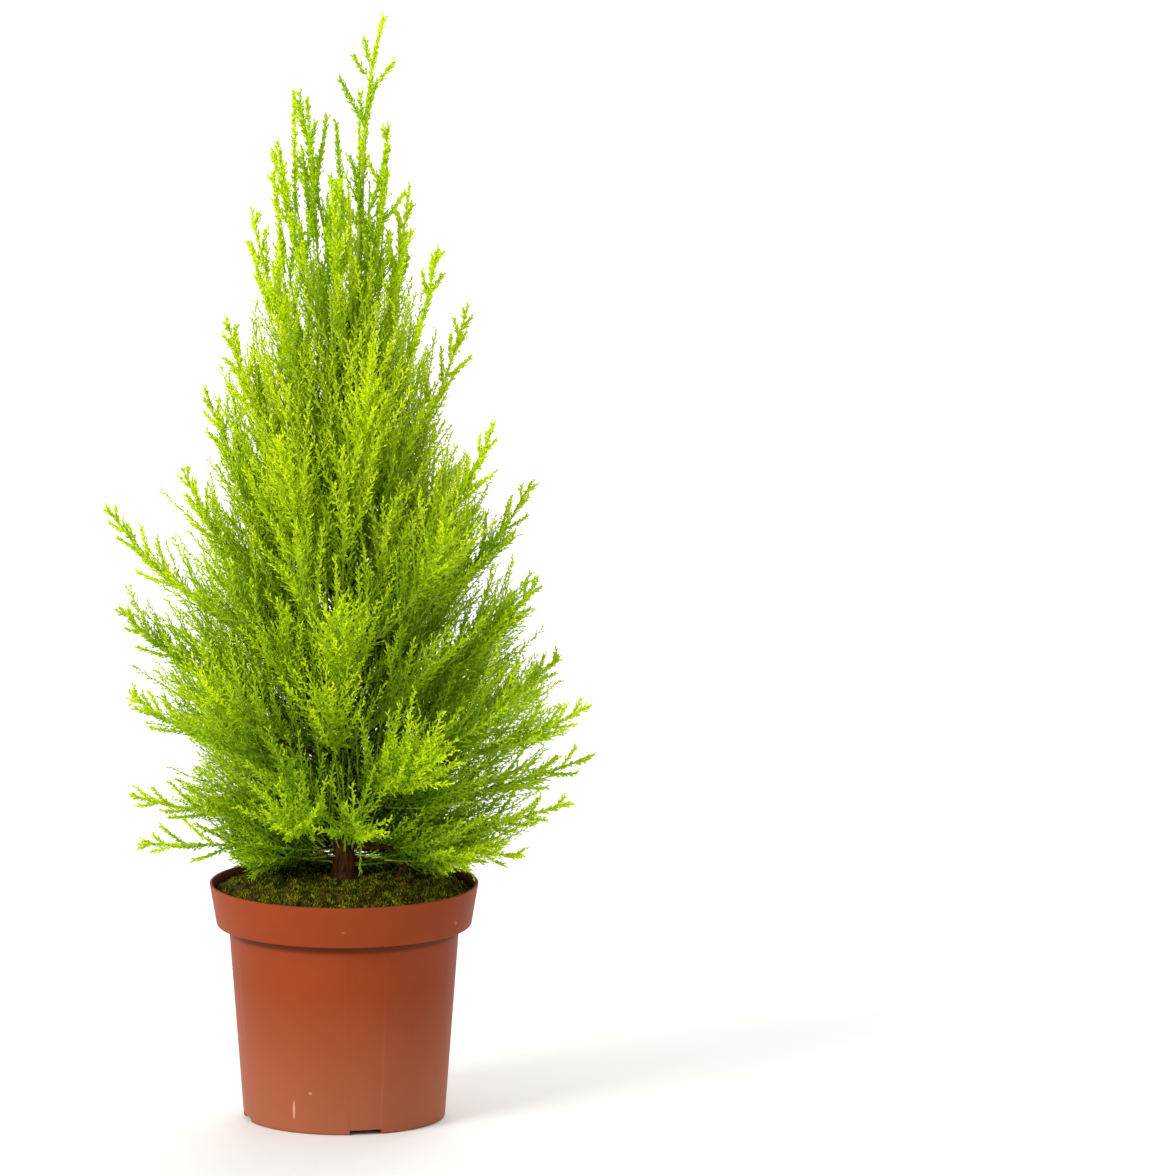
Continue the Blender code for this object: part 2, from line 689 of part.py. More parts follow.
def make_plume(plume, spaces, finish):
    radii = tapered((plume.stem_radius, STEM_TIP_RADIUS), STEM_SEGMENTS)
    stem = limb(plume.name, plume.stations(), radii, 3, finish)
    meshes = []
    for k in range(0, SHOOTS, SOURCE_STEP):
        root, ways, length = shoot(plume, k)
        side = 1.0 if (k // SOURCE_STEP) % 2 else -1.0
        found = fitted_spray(plume, spaces, root, ways, length, side)
        if found:
            outline, short = found
            meshes.append(spray_mesh(f"{plume.name}_spray_{k}", outline, short))
    length = TIP_SPRAY_SHARE * plume.length
    way = plume.along(1.0)
    root = plume.tip - way * length
    width_way = facing_width(way, root, 1.0)
    outline = spray_points(root, way, width_way, length, length * TIP_SPRAY_WIDTH_SHARE)
    meshes.append(spray_mesh(f"{plume.name}_tip", outline, length))
    fuse(stem, meshes)


def make_bough(plume, finish):
    shares = [BOUGH_SHARE * k / BOUGH_STATIONS for k in range(BOUGH_STATIONS + 1)]
    centres = [plume.at(share) for share in shares]
    name = plume.name.replace("foliage", "bough")
    limb(name, centres, tapered(BOUGH_RADII, BOUGH_STATIONS), BOUGH_SIDES, finish)


def side_stem_centres(count):
    """The side stem's centre line, a parabola from the soil past its bend to its tip."""
    foot, bend, tip = SIDE_STEM_FOOT, SIDE_STEM_BEND, SIDE_STEM_TIP
    shares = [k / count for k in range(count + 1)]
    return [(1 - s) ** 2 * foot + 2 * (1 - s) * s * bend + s * s * tip for s in shares]


def make_side_stem(finish):
    centres = side_stem_centres(SIDE_STEM_STATIONS)
    radii = tapered(SIDE_STEM_RADII, SIDE_STEM_STATIONS)
    limb("side_stem", centres, radii, BOUGH_SIDES, finish, flat_foot=True)


def main():
    for thing in list(bpy.data.objects):
        bpy.data.objects.remove(thing)
    bark = material("bark", BARK)
    foliage = material("lime_foliage", LIME_FOLIAGE)
    make_pot(material("terracotta_plastic", TERRACOTTA_PLASTIC))
    make_soil(material("mossy_compost", MOSSY_COMPOST))
    make_trunk(bark)
    make_side_stem(bark)
    plumes = plan_plumes()
    spaces = Spaces(plumes)
    for plume in plumes:
        if plume.bough:
            make_bough(plume, bark)
        make_plume(plume, spaces, foliage)


main()
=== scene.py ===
"""The looks of a young lemon cypress in its nursery pot, as a Blender add-on that is run as a script.

Metres, +Z up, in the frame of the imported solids: the origin is the centre of the pot's underside, -Y is the
front and +X is to the right. The crown grows by the rule of the solids: plumes leave the trunk and sweep out
and up to the crown's outline, each with side shoots in a spiral. Here every side shoot is grown, and each
carries twiglets, and each twiglet needles.
"""

import math

import bpy
import numpy as np
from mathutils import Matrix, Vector


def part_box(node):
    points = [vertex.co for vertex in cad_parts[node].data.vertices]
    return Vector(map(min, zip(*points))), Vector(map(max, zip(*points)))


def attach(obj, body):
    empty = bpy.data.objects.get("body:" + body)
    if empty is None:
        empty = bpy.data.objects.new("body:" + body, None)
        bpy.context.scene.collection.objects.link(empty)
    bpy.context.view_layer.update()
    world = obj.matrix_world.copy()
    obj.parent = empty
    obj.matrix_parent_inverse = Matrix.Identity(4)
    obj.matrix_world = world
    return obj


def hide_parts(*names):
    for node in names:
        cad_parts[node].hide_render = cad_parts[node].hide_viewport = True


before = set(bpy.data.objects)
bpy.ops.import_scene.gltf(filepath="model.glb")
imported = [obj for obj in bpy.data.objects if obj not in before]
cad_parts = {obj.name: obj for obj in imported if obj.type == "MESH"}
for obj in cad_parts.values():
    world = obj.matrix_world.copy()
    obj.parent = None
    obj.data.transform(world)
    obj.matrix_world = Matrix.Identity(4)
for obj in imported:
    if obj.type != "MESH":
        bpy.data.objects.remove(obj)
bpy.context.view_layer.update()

bl_info = {
    "name": "Lemon cypress in a nursery pot",
    "version": (1, 0, 0),
    "blender": (4, 5, 0),
    "location": "3D View > Sidebar > Cypress",
    "description": "Grows the crown, bark, soil and pot of a young lemon cypress over its solids",
    "category": "Object",
}

TURN = 2.0 * math.pi
UP = np.array([0.0, 0.0, 1.0])
TINY = 1e-6

# Values are in metres unless they are shares, counts or angles. A name that ends in JITTER is a pair: a least
# value, and what chance adds to it at most. A pair of rows, as in SPIRE_SPARSE, is a lookup with straight
# lines between: places, mostly heights, and the values there

NODES = sorted(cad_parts)
FOLIAGE_NODES = [name for name in NODES if name.startswith("foliage")]
LIMB_NODES = [name for name in NODES if name.startswith("bough")] + ["trunk", "side_stem"]

# Pot, from the frame and from the real pot's sections
RIM_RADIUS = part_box("pot")[1].x
POT_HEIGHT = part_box("pot")[1].z
BAND_LOW_RADIUS = 0.0615
BAND_HEIGHT = 0.0205
BODY_TOP_RADIUS = 0.0557
BODY_LOW_RADIUS = 0.0486
POT_WALL = 0.0013
FLOOR_RISE = 0.003
FOOT_WIDTH = 0.0031
CENTRE_FOOT_RADIUS = 0.0156
LEDGE = POT_HEIGHT - BAND_HEIGHT
NOTCH_COUNT = 4
NOTCH_WIDTH = 0.016
NOTCH_HEIGHT = 0.0025
NOTCH_FIRST = math.radians(-77.0)
DRAIN_COUNT = 6
DRAIN_RADIUS = 0.004
DRAIN_CIRCLE_RADIUS = 0.030
POT_COLUMNS = 192
CORNER_STEPS = 5
NOTCH_SIDE_TURN = 0.0006
NOTCH_CLEAR_TURN = 4.0 * NOTCH_SIDE_TURN
DRAIN_SIDES = 28
DRAIN_CUTTER_HEIGHT = 4.0 * POT_WALL
SHARP_ANGLE = math.radians(40.0)

# Wear on the pot. Rubbed places are centre, reach in each direction, and strength
SCUFF_COLOUR = "#DDB09A"
SCUFFS = (
    ((-0.0239, -0.0430, 0.0115), (0.0006, 0.0100, 0.0052), 0.65),
    ((-0.0160, -0.0455, 0.0205), (0.0011, 0.0100, 0.0007), 0.45),
    ((0.0000, -0.0632, 0.1025), (0.0012, 0.0100, 0.0006), 0.12),
    ((0.0540, -0.0330, 0.1010), (0.0007, 0.0100, 0.0012), 0.18),
)
# Painted light on the pot: paler towards its foot, for the light that the floor throws back, and painted
# darker in the corner under the band and inside the rim, for the shade that falls there
FOOT_BOUNCE_COLOUR = "#D49A78"
FOOT_BOUNCE_HEIGHT = 0.070
FOOT_BOUNCE_STRENGTH = 0.22
BAND_SHADE_COLOUR = "#3A1608"
BAND_SHADE_FROM = LEDGE - 0.0048
BAND_SHADE_FULL = LEDGE - 0.0030
BAND_SHADE_TOP = LEDGE + 0.0003
BAND_SHADE_STRENGTH = 0.6
RIM_SHADE_COLOUR = "#1E0F06"
RIM_SHADE_FROM = POT_HEIGHT - 0.0015
RIM_SHADE_FULL = POT_HEIGHT - 0.0045
RIM_SHADE_LOW = LEDGE + 0.001
RIM_SHADE_STRENGTH = 0.8

# Soil
SOIL_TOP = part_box("soil")[1].z
SOIL_FLAT_RADIUS = 0.036
SOIL_SHOULDER = (0.046, 0.1155)
SOIL_EDGE_TOP = 0.109
SOIL_ROWS = 90
SOIL_COLUMNS = 200
SOIL_ROW_CROWDING = 0.7

# Waves laid over the soil: weight, length, number of waves and seed of each layer
SOIL_WAVES = ((0.0012, 0.014, 18, 5), (0.0006, 0.005, 18, 6))
WAVE_LENGTH_JITTER = (0.7, 0.6)

# Moss: how much of the soil it covers, how long it is, where each kind lies, and painted light on its right
MOSS_COLOURS = (
    ("moss_dark", "#363E02"),
    ("moss_green", "#6A7804"),
    ("moss_bright", "#929E08"),
    ("moss_dry", "#86601A"),
)
MOSS_COVER = 0.62
MOSS_COVER_WAVES = ((0.34, 0.022, 10, 8), (0.45, 0.007, 14, 7))
MOSS_BARE_LEFT = 0.6
MOSS_BARE_FROM = 0.042
MOSS_BARE_WIDTH = 0.018
MOSS_FROM_WALL = 0.0012
MOSS_SINK = 0.0004
MOSS_LEAN = 1.5
MOSS_LEAST = 0.0004
MOSS_WIDTH = 0.0007
MOSS_LENGTH_JITTER = (0.35, 0.65)
MOSS_LENGTH = 0.8
MOSS_LENGTH_WAVES = ((0.2, 0.009, 10, 9),)
MOSS_TONE_WAVES = ((0.30, 0.012, 12, 10), (0.22, 0.005, 14, 13))
MOSS_LIGHT_RIGHT = 0.15
MOSS_LIGHT_WIDTH = 0.05
MOSS_KIND_STEPS = (0.42, 0.82, 1.12)

# Loose crumbs of compost, thicker towards the left
CRUMBS_FROM_WALL = 0.0022
CRUMB_CROWD = 0.35
CRUMB_CROWD_LEFT = 0.65
CRUMB_CROWD_FROM = 0.02
CRUMB_CROWD_WIDTH = 0.03
CRUMB_SIZE_JITTER = (0.0005, 0.0011)
CRUMB_STANDS = 0.3
CRUMB_UNEVEN_JITTER = (0.55, 0.9)
CRUMB_FLATNESS = 0.7

# Trunk and side stem
GAP = 0.0003
TRUNK_FOOT = SOIL_TOP + GAP
TRUNK_TOP = 0.455
TRUNK_LEAN = 0.0095
TRUNK_SWAY_ASIDE = 0.0015
TRUNK_SWAY_DEPTH = 0.0025
TRUNK_LOW_RADIUS = 0.0044
TRUNK_TOP_RADIUS = 0.0009
FLARE_RADIUS = 0.0032
FLARE_HEIGHT = 0.006
TAPER_POWER = 0.9
TRUNK_SINK = 0.003
ROOT_SWELLING = 0.10
ROOT_SWELLING_HEIGHT = 0.0016
SIDE_STEM = np.array([[0.0270, -0.0040, TRUNK_FOOT], [0.0310, -0.0050, 0.1300], [0.0450, -0.0080, 0.1400]])
SIDE_STEM_RADII = (0.0021, 0.0012)
SIDE_STEM_TIP = np.array([0.109, -0.028, 0.160])
SIDE_PLUME_BEND = 0.55
SIDE_PLUME_SAG = 0.004
SIDE_PLUME_RADIUS_SHARE = 0.8

# Crown outline: (tip height, distance out) of each plume that shows against the sky, top down, as seen
# from the front and a little above, where a tip nearer the viewer shows lower by this slope
VIEW_SLOPE = 0.189
RIGHT_TIPS = (
    (0.486, 0.022), (0.457, 0.032), (0.426, 0.046), (0.398, 0.060), (0.340, 0.073),
    (0.312, 0.091), (0.264, 0.094), (0.226, 0.104), (0.202, 0.117), (0.177, 0.120),
    (0.128, 0.086),
)
LEFT_TIPS = (
    (0.502, 0.021), (0.473, 0.033), (0.445, 0.044), (0.392, 0.056), (0.358, 0.067),
    (0.318, 0.077), (0.300, 0.115), (0.250, 0.107), (0.208, 0.104), (0.158, 0.102),
    (0.133, 0.099),
)

# The crown's body inside its tips: (height, distance out) of the dense part's edge, seen the same way
BODY_RIGHT = (
    (0.117, 0.060), (0.136, 0.078), (0.150, 0.097), (0.180, 0.106), (0.209, 0.099),
    (0.239, 0.090), (0.283, 0.083), (0.312, 0.064), (0.342, 0.051), (0.386, 0.041),
    (0.430, 0.029), (0.475, 0.014),
)
BODY_LEFT = (
    (0.117, 0.050), (0.130, 0.052), (0.140, 0.058), (0.150, 0.072), (0.160, 0.084),
    (0.168, 0.080), (0.180, 0.069), (0.195, 0.083), (0.224, 0.091), (0.268, 0.102),
    (0.283, 0.091), (0.298, 0.074), (0.327, 0.063), (0.386, 0.052), (0.430, 0.038),
    (0.475, 0.020),
)
BODY_TOP = 0.480
BODY_INSET = (-0.006, 0.010)

# Slender upright cords round the crown's top: (across, height) of the foot and tip of each
TOP_CORDS = (
    ((0.0104, 0.4860), (-0.0009, 0.5080)), ((0.0120, 0.5090), (0.0055, 0.5190)),
    ((0.0132, 0.5150), (0.0108, 0.5262)), ((0.0115, 0.5000), (0.0246, 0.5165)),
    ((0.0130, 0.4440), (0.0222, 0.4755)), ((0.0010, 0.4300), (-0.0031, 0.4871)),
    ((-0.0120, 0.4260), (-0.0170, 0.4990)), ((-0.0130, 0.4560), (-0.0076, 0.4900)),
    ((-0.0225, 0.4400), (-0.0234, 0.5026)), ((-0.0225, 0.4300), (-0.0317, 0.4780)),
    ((-0.0150, 0.4340), (-0.0195, 0.4740)), ((-0.0280, 0.4140), (-0.0332, 0.4627)),
    ((-0.0340, 0.3900), (-0.0446, 0.4284)), ((0.0200, 0.4000), (0.0333, 0.4340)),
    ((0.0100, 0.4820), (0.0150, 0.5050)), ((0.0095, 0.4860), (0.0085, 0.5010)),
)
# Short sprays that stand out of the crown's edge between the plumes' tips, given as the cords above
EDGE_SPRAYS = (
    ((-0.0700, 0.1960), (-0.1034, 0.2025)), ((-0.0640, 0.1890), (-0.0957, 0.1936)),
    ((-0.0720, 0.2030), (-0.1020, 0.2216)), ((-0.0560, 0.1610), (-0.0841, 0.1716)),
    ((-0.0560, 0.1540), (-0.0880, 0.1500)), ((0.0660, 0.2400), (0.0908, 0.2667)),
    ((0.0720, 0.2180), (0.0961, 0.2397)), ((0.0780, 0.1960), (0.1048, 0.2142)),
    ((0.0560, 0.1310), (0.0846, 0.1289)), ((0.0500, 0.2950), (0.0692, 0.3314)),
    ((0.0550, 0.2820), (0.0730, 0.3172)), ((-0.0480, 0.3400), (-0.0590, 0.3680)),
    ((-0.0700, 0.2900), (-0.0880, 0.3080)),
)
# The leader's own curve ends at the plant's top
LEADER_TIP = np.array([0.0200, 0.0000, 0.5380])
LEADER_BEND = np.array([0.0110, 0.0000, 0.5100])

# Crown depth: front and back plumes follow one smooth outline, (height, distance out)
DEPTH_OUTLINE = (
    (0.125, 0.085), (0.180, 0.113), (0.250, 0.102), (0.310, 0.084), (0.360, 0.066),
    (0.420, 0.047), (0.470, 0.030), (0.510, 0.018),
)
DEPTH_COUNT = 10
DEPTH_LOW = 0.122
DEPTH_HIGH = 0.487
DEPTH_SPREAD_DEG = 100.0
DEPTH_CROWDING = 1.15
DEPTH_SHIFT = 0.8
EDGE_SWING_DEG = 22.0
EDGE_SWING_JITTER = (0.55, 0.45)

# Plumes that fill the crown's inside, spaced round the trunk by the golden angle, as shares of its reach
INNER_COUNT = 96
INNER_LOW = 0.150
INNER_HIGH = 0.470
INNER_REACH = (0.55, 0.95)
INNER_TO_SIDES = 0.25
INNER_CROWDING = 1.1
INNER_FULLNESS = 0.68
INNER_RADIUS_SHARE = 0.6
TIP_MARGIN = 0.006
LOW_COUNT = 24
LOW_TIPS = (0.1190, 0.1270)
LOW_REACH = (0.036, 0.080)
LOW_SIDES = (math.radians(-12.0), math.radians(222.0))

# Low shoots that show singly: foot, tip, vigour and how much lighter than its place it is
LOW_SHOOTS = (
    ((0.0360, -0.0060, 0.1370), (0.0630, -0.0100, 0.1196), 0.75, 0.35),
    ((0.0085, -0.0240, 0.1540), (0.0080, -0.0270, 0.1245), 0.45, 0.30),
    ((-0.0040, -0.0200, 0.1700), (-0.0065, -0.0240, 0.1420), 0.60, 0.25),
    ((0.0080, -0.0150, 0.1600), (0.0450, -0.0360, 0.1580), 0.85, 0.10),
    ((0.0150, -0.0400, 0.1660), (0.0450, -0.0640, 0.1980), 0.95, 0.40),
    ((-0.0080, -0.0080, 0.1500), (-0.0300, -0.0200, 0.1290), 0.60, 0.00),
    ((-0.0100, -0.0020, 0.1400), (-0.0480, -0.0080, 0.1240), 0.70, 0.00),
)

# How a plume leaves the trunk, and how it thins out towards the top of the crown
LOWEST_TIP = 0.125
LOWEST_ROOT = 0.130
ROOT_RISE = 0.34
ROOT_RISE_GROWTH = 0.9
BEND_OUT = 0.68
BEND_UP = 0.34
FULL_BELOW = 0.440
THIN_ABOVE = 0.505
THINNEST = 0.55
ROOT_SPACING = 0.0047
INNER_ROOT_SPACING = 0.0021
ROOT_STEP = 0.001
STEM_RADIUS_SHARE = 0.0085
STEM_LEAST_RADIUS = 0.0001
STEM_TIP_RADIUS = 0.00035
LENGTH_SAMPLES = 21

# Side shoots of a plume: where they stand on its stem, how many are left out, and which way they grow
FIRST_SHOOT = 0.08
LAST_SHOOT = 0.94
SHOOT_STAGGER = 0.6
GOLDEN_SHARE = 0.618
GOLDEN_ANGLE = math.radians(137.508)
SPIRE_SPARSE = ((0.29, 0.38, 0.43), (1.0, 0.30, 0.12))
OUTER_SPARSE = ((0.5, 0.8), (1.0, 0.7))
LOW_SIDE_BELOW = 0.18
LOW_SIDE_FROM = 0.040
LOW_SIDE_SHARE = 0.36
SHOOT_ASIDE = 0.55
SHOOT_ASIDE_JITTER = (0.6, 0.8)
SHOOT_FOLLOWS = 0.25
SPIRE_NARROWING = ((0.34, 0.43), (1.0, 0.55))
FAN_HEIGHT = 0.132
FAN_LEAST = 0.025
FAN_FLOOR = 0.1200
FAN_FLOOR_DEPTH = 0.03
FAN_SPREAD = 2.5
HANG_ABOVE = 0.200

# How long side shoots are, and the limits that they keep within
SHOOT_LENGTH = 0.062
SHOOT_LENGTH_JITTER = (0.6, 0.4)
PAST_TIP = 1.15
SHOOT_LEAST = 0.006
SHOOT_CURL = 0.12
TRIED_LENGTHS = 8
LOWEST_FOLIAGE = ((0.036, 0.046, 0.060, 0.068, 0.074), (0.1185, 0.1172, 0.1165, 0.1165, 0.1120))
LOWEST_SEEN = ((-0.060, -0.030, -0.010), (0.1235, 0.1215, 0.1140))

# A plume's own end, and the slender side cords there. A shoot's share is how far out on its plume it stands,
# and its vigour scales its twiglets
TIP_SHARE = 0.55
LEADER_TIP_SHARE = 0.02
LOW_TIPS_BELOW = 0.170
LOW_TIP_SHARE = 0.30
OUTER_SHOOT_SHARE = 0.9
LOW_SHOOT_SHARE = 0.8
SIDE_CORDS = 11
SIDE_CORDS_FROM = 0.60
SIDE_CORD_STAGGER = 0.7
LAST_CORD = 0.97
SIDE_CORDS_SPARSE = ((0.38, 0.44), (1.0, 0.45))
SIDE_CORD_ANGLE_JITTER = (24.0, 14.0)
SIDE_CORD_LEAST = 0.003
SIDE_CORD_LENGTH = 0.36
SIDE_CORD_LONGEST_PLUME = 0.12
SIDE_CORD_RISE = 0.15
CORD_VIGOUR = 0.36
TIP_VIGOUR = 0.43
SPRAY_VIGOUR = 0.58
INNER_TIP_VIGOUR = 0.8
VIGOUR_BY_HEIGHT = ((0.31, 0.42), (1.0, CORD_VIGOUR))

# Cords and shoots that are placed one by one: how far they stand off the middle, and how they sag or rise
CORD_DEPTH = 0.012
CORD_DEPTH_BELOW = 0.48
CORD_TIP_DEPTH = 1.5
CORD_SAG = 0.12
LOW_SHOOT_SAG = -0.15

# Short shoots up the trunk, and shoots that leave it just above the soil
TRUNK_SHOOTS = 250
TRUNK_SHOOTS_LOW = 1.4
TRUNK_SHOOT_LENGTH = 0.040
TRUNK_SHOOT_LENGTH_JITTER = (0.7, 0.6)
TRUNK_LENGTH_BY_HEIGHT = ((0.38, 0.455), (1.0, 0.6))
TRUNK_SPREAD_JITTER = (math.radians(22.0), math.radians(26.0))
TRUNK_SHOOT_RISE = 0.1
TRUNK_SPARSE = ((0.29, 0.38), (1.0, 0.22))
BASAL_SHOOTS = 20
BASAL_SIDES = (math.radians(-15.0), math.radians(215.0))
BASAL_HEIGHTS = (0.1225, 0.1340)
BASAL_LENGTH = 0.052
BASAL_LENGTH_JITTER = (0.6, 0.4)
BASAL_RISE = 0.5
BASAL_SINK = 0.001
BASAL_SHARE = 0.8
BASAL_LIGHT = -0.2

# Tints of twiglets and needles, darkest first, and how a place's tone picks one of them
# Painted light: the tone makes tints lighter far out and high up in the crown, and painted shade darker in
# the spire and the low hollow
TINTS = ("#3C6800", "#689600", "#86B000", "#A0C400", "#B4D400", "#C6E000", "#D4E808")
TINTS_PER_TONE = 7.5
TONE_OUT = 0.24
TONE_ALONG = 0.14
TONE_HEIGHT = 0.58
TONE_HEIGHT_FROM = 0.12
TONE_HEIGHT_RANGE = 0.36
TONE_A_SHOOT = 0.26
TONE_A_TWIGLET = 0.2
EVEN_ABOVE = ((0.36, 0.48), (1.0, 0.45))
SPIRE_SHADE = ((0.36, 0.50), (0.0, 0.42))
HOLLOW_SHADE = ((0.15, 0.24), (1.0, 0.0))
HOLLOW_DEPTH = 1.3
HOLLOW_REACH = 0.45
LOW_TIP_LIGHT = 0.6
LOW_TIP_LIGHT_FROM = 0.6
LOW_TIP_LIGHT_RANGE = 0.4
PLUME_CONTRAST = 0.30

# Twiglets along a shoot and needles along a twiglet. A cord's factors scale width, length and angle by one
# plus the slim value low down, and by one plus the stout value high up
CORD_RANGE = (0.40, 0.60)
SLIM_CORDS = (0.45, -0.12, -0.30)
STOUT_CORDS = (0.75, 0.05, -0.18)
STOUT_ABOVE = ((0.33, 0.41), (0.0, 1.0))
HIDDEN_SPACING = ((0.18, 0.50), (2.0, 1.0))
HIDDEN_BELOW = 0.390
CORD_CLOSENESS = 0.55
FEWEST_TWIGLETS = 3
FIRST_TWIGLET = 0.05
TWIGLET_RANGE = 0.93
TWIGLET_ANGLE_DEG = 38.0
TWIGLET_ANGLE_LOSS_DEG = 12.0
TWIGLET_ANGLE_CHANCE_DEG = 10.0
TWIGLET_BASE_LENGTH = 0.0018
TWIGLET_LENGTH_SHARE = 0.36
LONG_TWIGLET_EVERY = 4
LONG_TWIGLET = 1.3
OTHER_TWIGLET = 0.85
TWIGLET_FULL_TO = 0.75
TWIGLET_FULL_POWER = 0.7
TWIGLET_FULL_JITTER = (0.22, 0.78)
TWIGLET_LENGTH_JITTER = (0.75, 0.5)
SHORTEST_TWIGLET = 0.0020
NEEDLE_SPACING = 0.0014
NEEDLES_A_TWIGLET = (2, 5)
END_NEEDLE_PLACE = 0.80
END_NEEDLE_ANGLE = 0.02
NEEDLE_PLACE_JITTER = (0.10, 0.75)
NEEDLE_TURN = 1.3
NEEDLE_ANGLE_JITTER = (20.0, 14.0)
NEEDLE_LENGTH_JITTER = (0.75, 0.4)
MAX_NEEDLES_A_PIECE = 49000

# How finely trunk, boughs and green stems are drawn, and their bark. Bark waves are ridges round the limb,
# wander per metre up it, and depth
TRUNK_STATIONS = 320
TRUNK_SIDES = 48
UPPER_STEM = 0.340
UPPER_SIDES = 12
SIDE_STEM_STATIONS = 60
SIDE_STEM_SIDES = 20
WOODY_SHARE = ((0.25, 0.40), (0.36, 0.08))
WOODY_STATIONS = 30
WOODY_SIDES = 9
WOODY_SINK = 0.02
WOODY_THICKNESS = 1.15
BARK_WAVES = ((5, 210.0, 0.30), (9, 330.0, 0.25), (14, 520.0, 0.2))
BARK_WANDER = 1.8
TRUNK_BARK = 0.11
SIDE_STEM_BARK = 0.10
BOUGH_BARK = 0.12
STEM_STATIONS = 20
STEM_SIDES = 6
STEM_OVERLAP = 0.03
STEM_TIP_SHARE = 0.8
SHOOT_STATIONS = 5
SHOOT_SIDES = 3
SHOOT_BASE_RADIUS = 0.00020
SHOOT_RADIUS_SHARE = 0.007
SHOOT_TAPER = 0.72

# Stage: the photograph's frame in pixels, where the pot's axis and base stand in it, and its scale
PLANT_MIDDLE = (0.0, 0.0, 0.25)
FRAME_SIZE_PX = 1176
PIXELS_PER_METRE = 2075.0
POT_AXIS_PX = 343.5
POT_BASE_PX = 1117.0
SENSOR_WIDTH = 36.0
CLIP_END = 100.0
FLOOR_REACH = 6.0
SURROUNDINGS_STRENGTH = 0.74
KEY_LIGHT_PLACE = (-2.1, -1.9, 1.7)
KEY_LIGHT_SIZE = 1.4
FLOOR_LIGHT_PLACE = (0.6, 2.6, 2.6)
FLOOR_LIGHT_AIM = (0.4, 1.8, 0.0)
FLOOR_LIGHT_SIZE = 2.4
FLOOR_LIGHT_SHARE = 0.9


def linear(hex_colour):
    """An sRGB hex colour as linear red, green and blue."""
    values = [int(hex_colour[k : k + 2], 16) / 255.0 for k in (1, 3, 5)]
    return tuple(v / 12.92 if v <= 0.04045 else ((v + 0.055) / 1.055) ** 2.4 for v in values)


def size_property(name, description, default, precision=4):
    """A length that a user can change."""
    settings = {"name": name, "description": description, "default": default, "precision": precision}
    return bpy.props.FloatProperty(unit="LENGTH", **settings)


def colour_property(name, description, hex_colour):
    """A colour that a user can change."""
    settings = {"name": name, "description": description, "default": linear(hex_colour)}
    return bpy.props.FloatVectorProperty(subtype="COLOR", size=3, min=0.0, max=1.0, **settings)


class PotSettings(bpy.types.PropertyGroup):
    colour: colour_property("Plastic colour", "Colour of the moulded plastic", "#8B3914")
    edge_round: size_property("Bottom edge radius", "Radius of the pot's rounded bottom edge", 0.0016)


class CrownSettings(bpy.types.PropertyGroup):
    shoots: bpy.props.IntProperty(
        name="Shoots a plume",
        description="Side shoots set round each plume's stem",
        min=4,
        max=80,
        default=40,
    )
    twiglet_spacing: size_property("Twiglet spacing", "Distance between twiglets along a shoot", 0.0019, 5)
    twiglet_length: size_property("Twiglet length", "Length of the longest twiglets", 0.0072)
    twiglet_width: size_property("Twiglet width", "Width of a twiglet's scale-covered body", 0.0011, 5)
    needle_length: size_property("Needle length", "Length of a full-grown needle", 0.0026, 5)
    needle_width: size_property("Needle width", "Width of a needle at its shoulders", 0.0009, 5)


class SoilSettings(bpy.types.PropertyGroup):
    tufts: bpy.props.IntProperty(
        name="Moss tufts",
        description="Number of moss shoots on the soil",
        min=0,
        max=40000,
        default=26000,
    )
    tuft_height: size_property("Moss height", "Height of the tallest moss shoots", 0.0026)
    crumbs: bpy.props.IntProperty(
        name="Compost crumbs",
        description="Number of loose crumbs of dark compost",
        min=0,
        max=5000,
        default=900,
    )


class StageSettings(bpy.types.PropertyGroup):
    elevation: bpy.props.FloatProperty(
        name="Camera height angle",
        description="Angle of the camera above the level",
        subtype="ANGLE",
        default=math.radians(10.7),
    )
    distance: bpy.props.FloatProperty(
        name="Camera distance",
        description="Distance from the camera to the plant",
        unit="LENGTH",
        default=12.0,
    )
    key_power: bpy.props.FloatProperty(
        name="Key light power",
        description="Power of the soft light at the front left",
        unit="POWER",
        default=76.0,
    )
    floor_colour: colour_property("Floor colour", "Colour of the plain floor", "#F4F4F2")


def noise(*keys):
    """A repeatable number from 0 to 1 for whole-number keys: the fraction of a large sine."""
    total = sum((i + 1) * 12.9898 * (np.asarray(key) + 1) for i, key in enumerate(keys))
    value = np.sin(total) * 43758.5453
    return value - np.floor(value)


def unit(vectors):
    """Each vector divided by its length."""
    return vectors / np.maximum(np.linalg.norm(vectors, axis=-1, keepdims=True), 1e-12)


def between(ends, share):
    """The value at a share of the way from the first end to the second."""
    return ends[0] + (ends[1] - ends[0]) * share


def jittered(least_and_range, chance):
    """A least value plus its range times a chance from 0 to 1."""
    return least_and_range[0] + least_and_range[1] * chance


def outward(angle):
    """Level unit directions at angles from +X: the cosine, the sine and 0."""
    return np.stack([np.cos(angle), np.sin(angle), np.zeros(np.shape(angle))], axis=1)


def parabola(first, bend, last, t):
    """Points of a curve from the first point to the last, drawn towards the bend.

    Each is first times (1 - t) squared, plus bend times 2 t (1 - t), plus last times t squared.
    """
    rest = 1.0 - t
    return rest**2 * first + 2.0 * rest * t * bend + t**2 * last


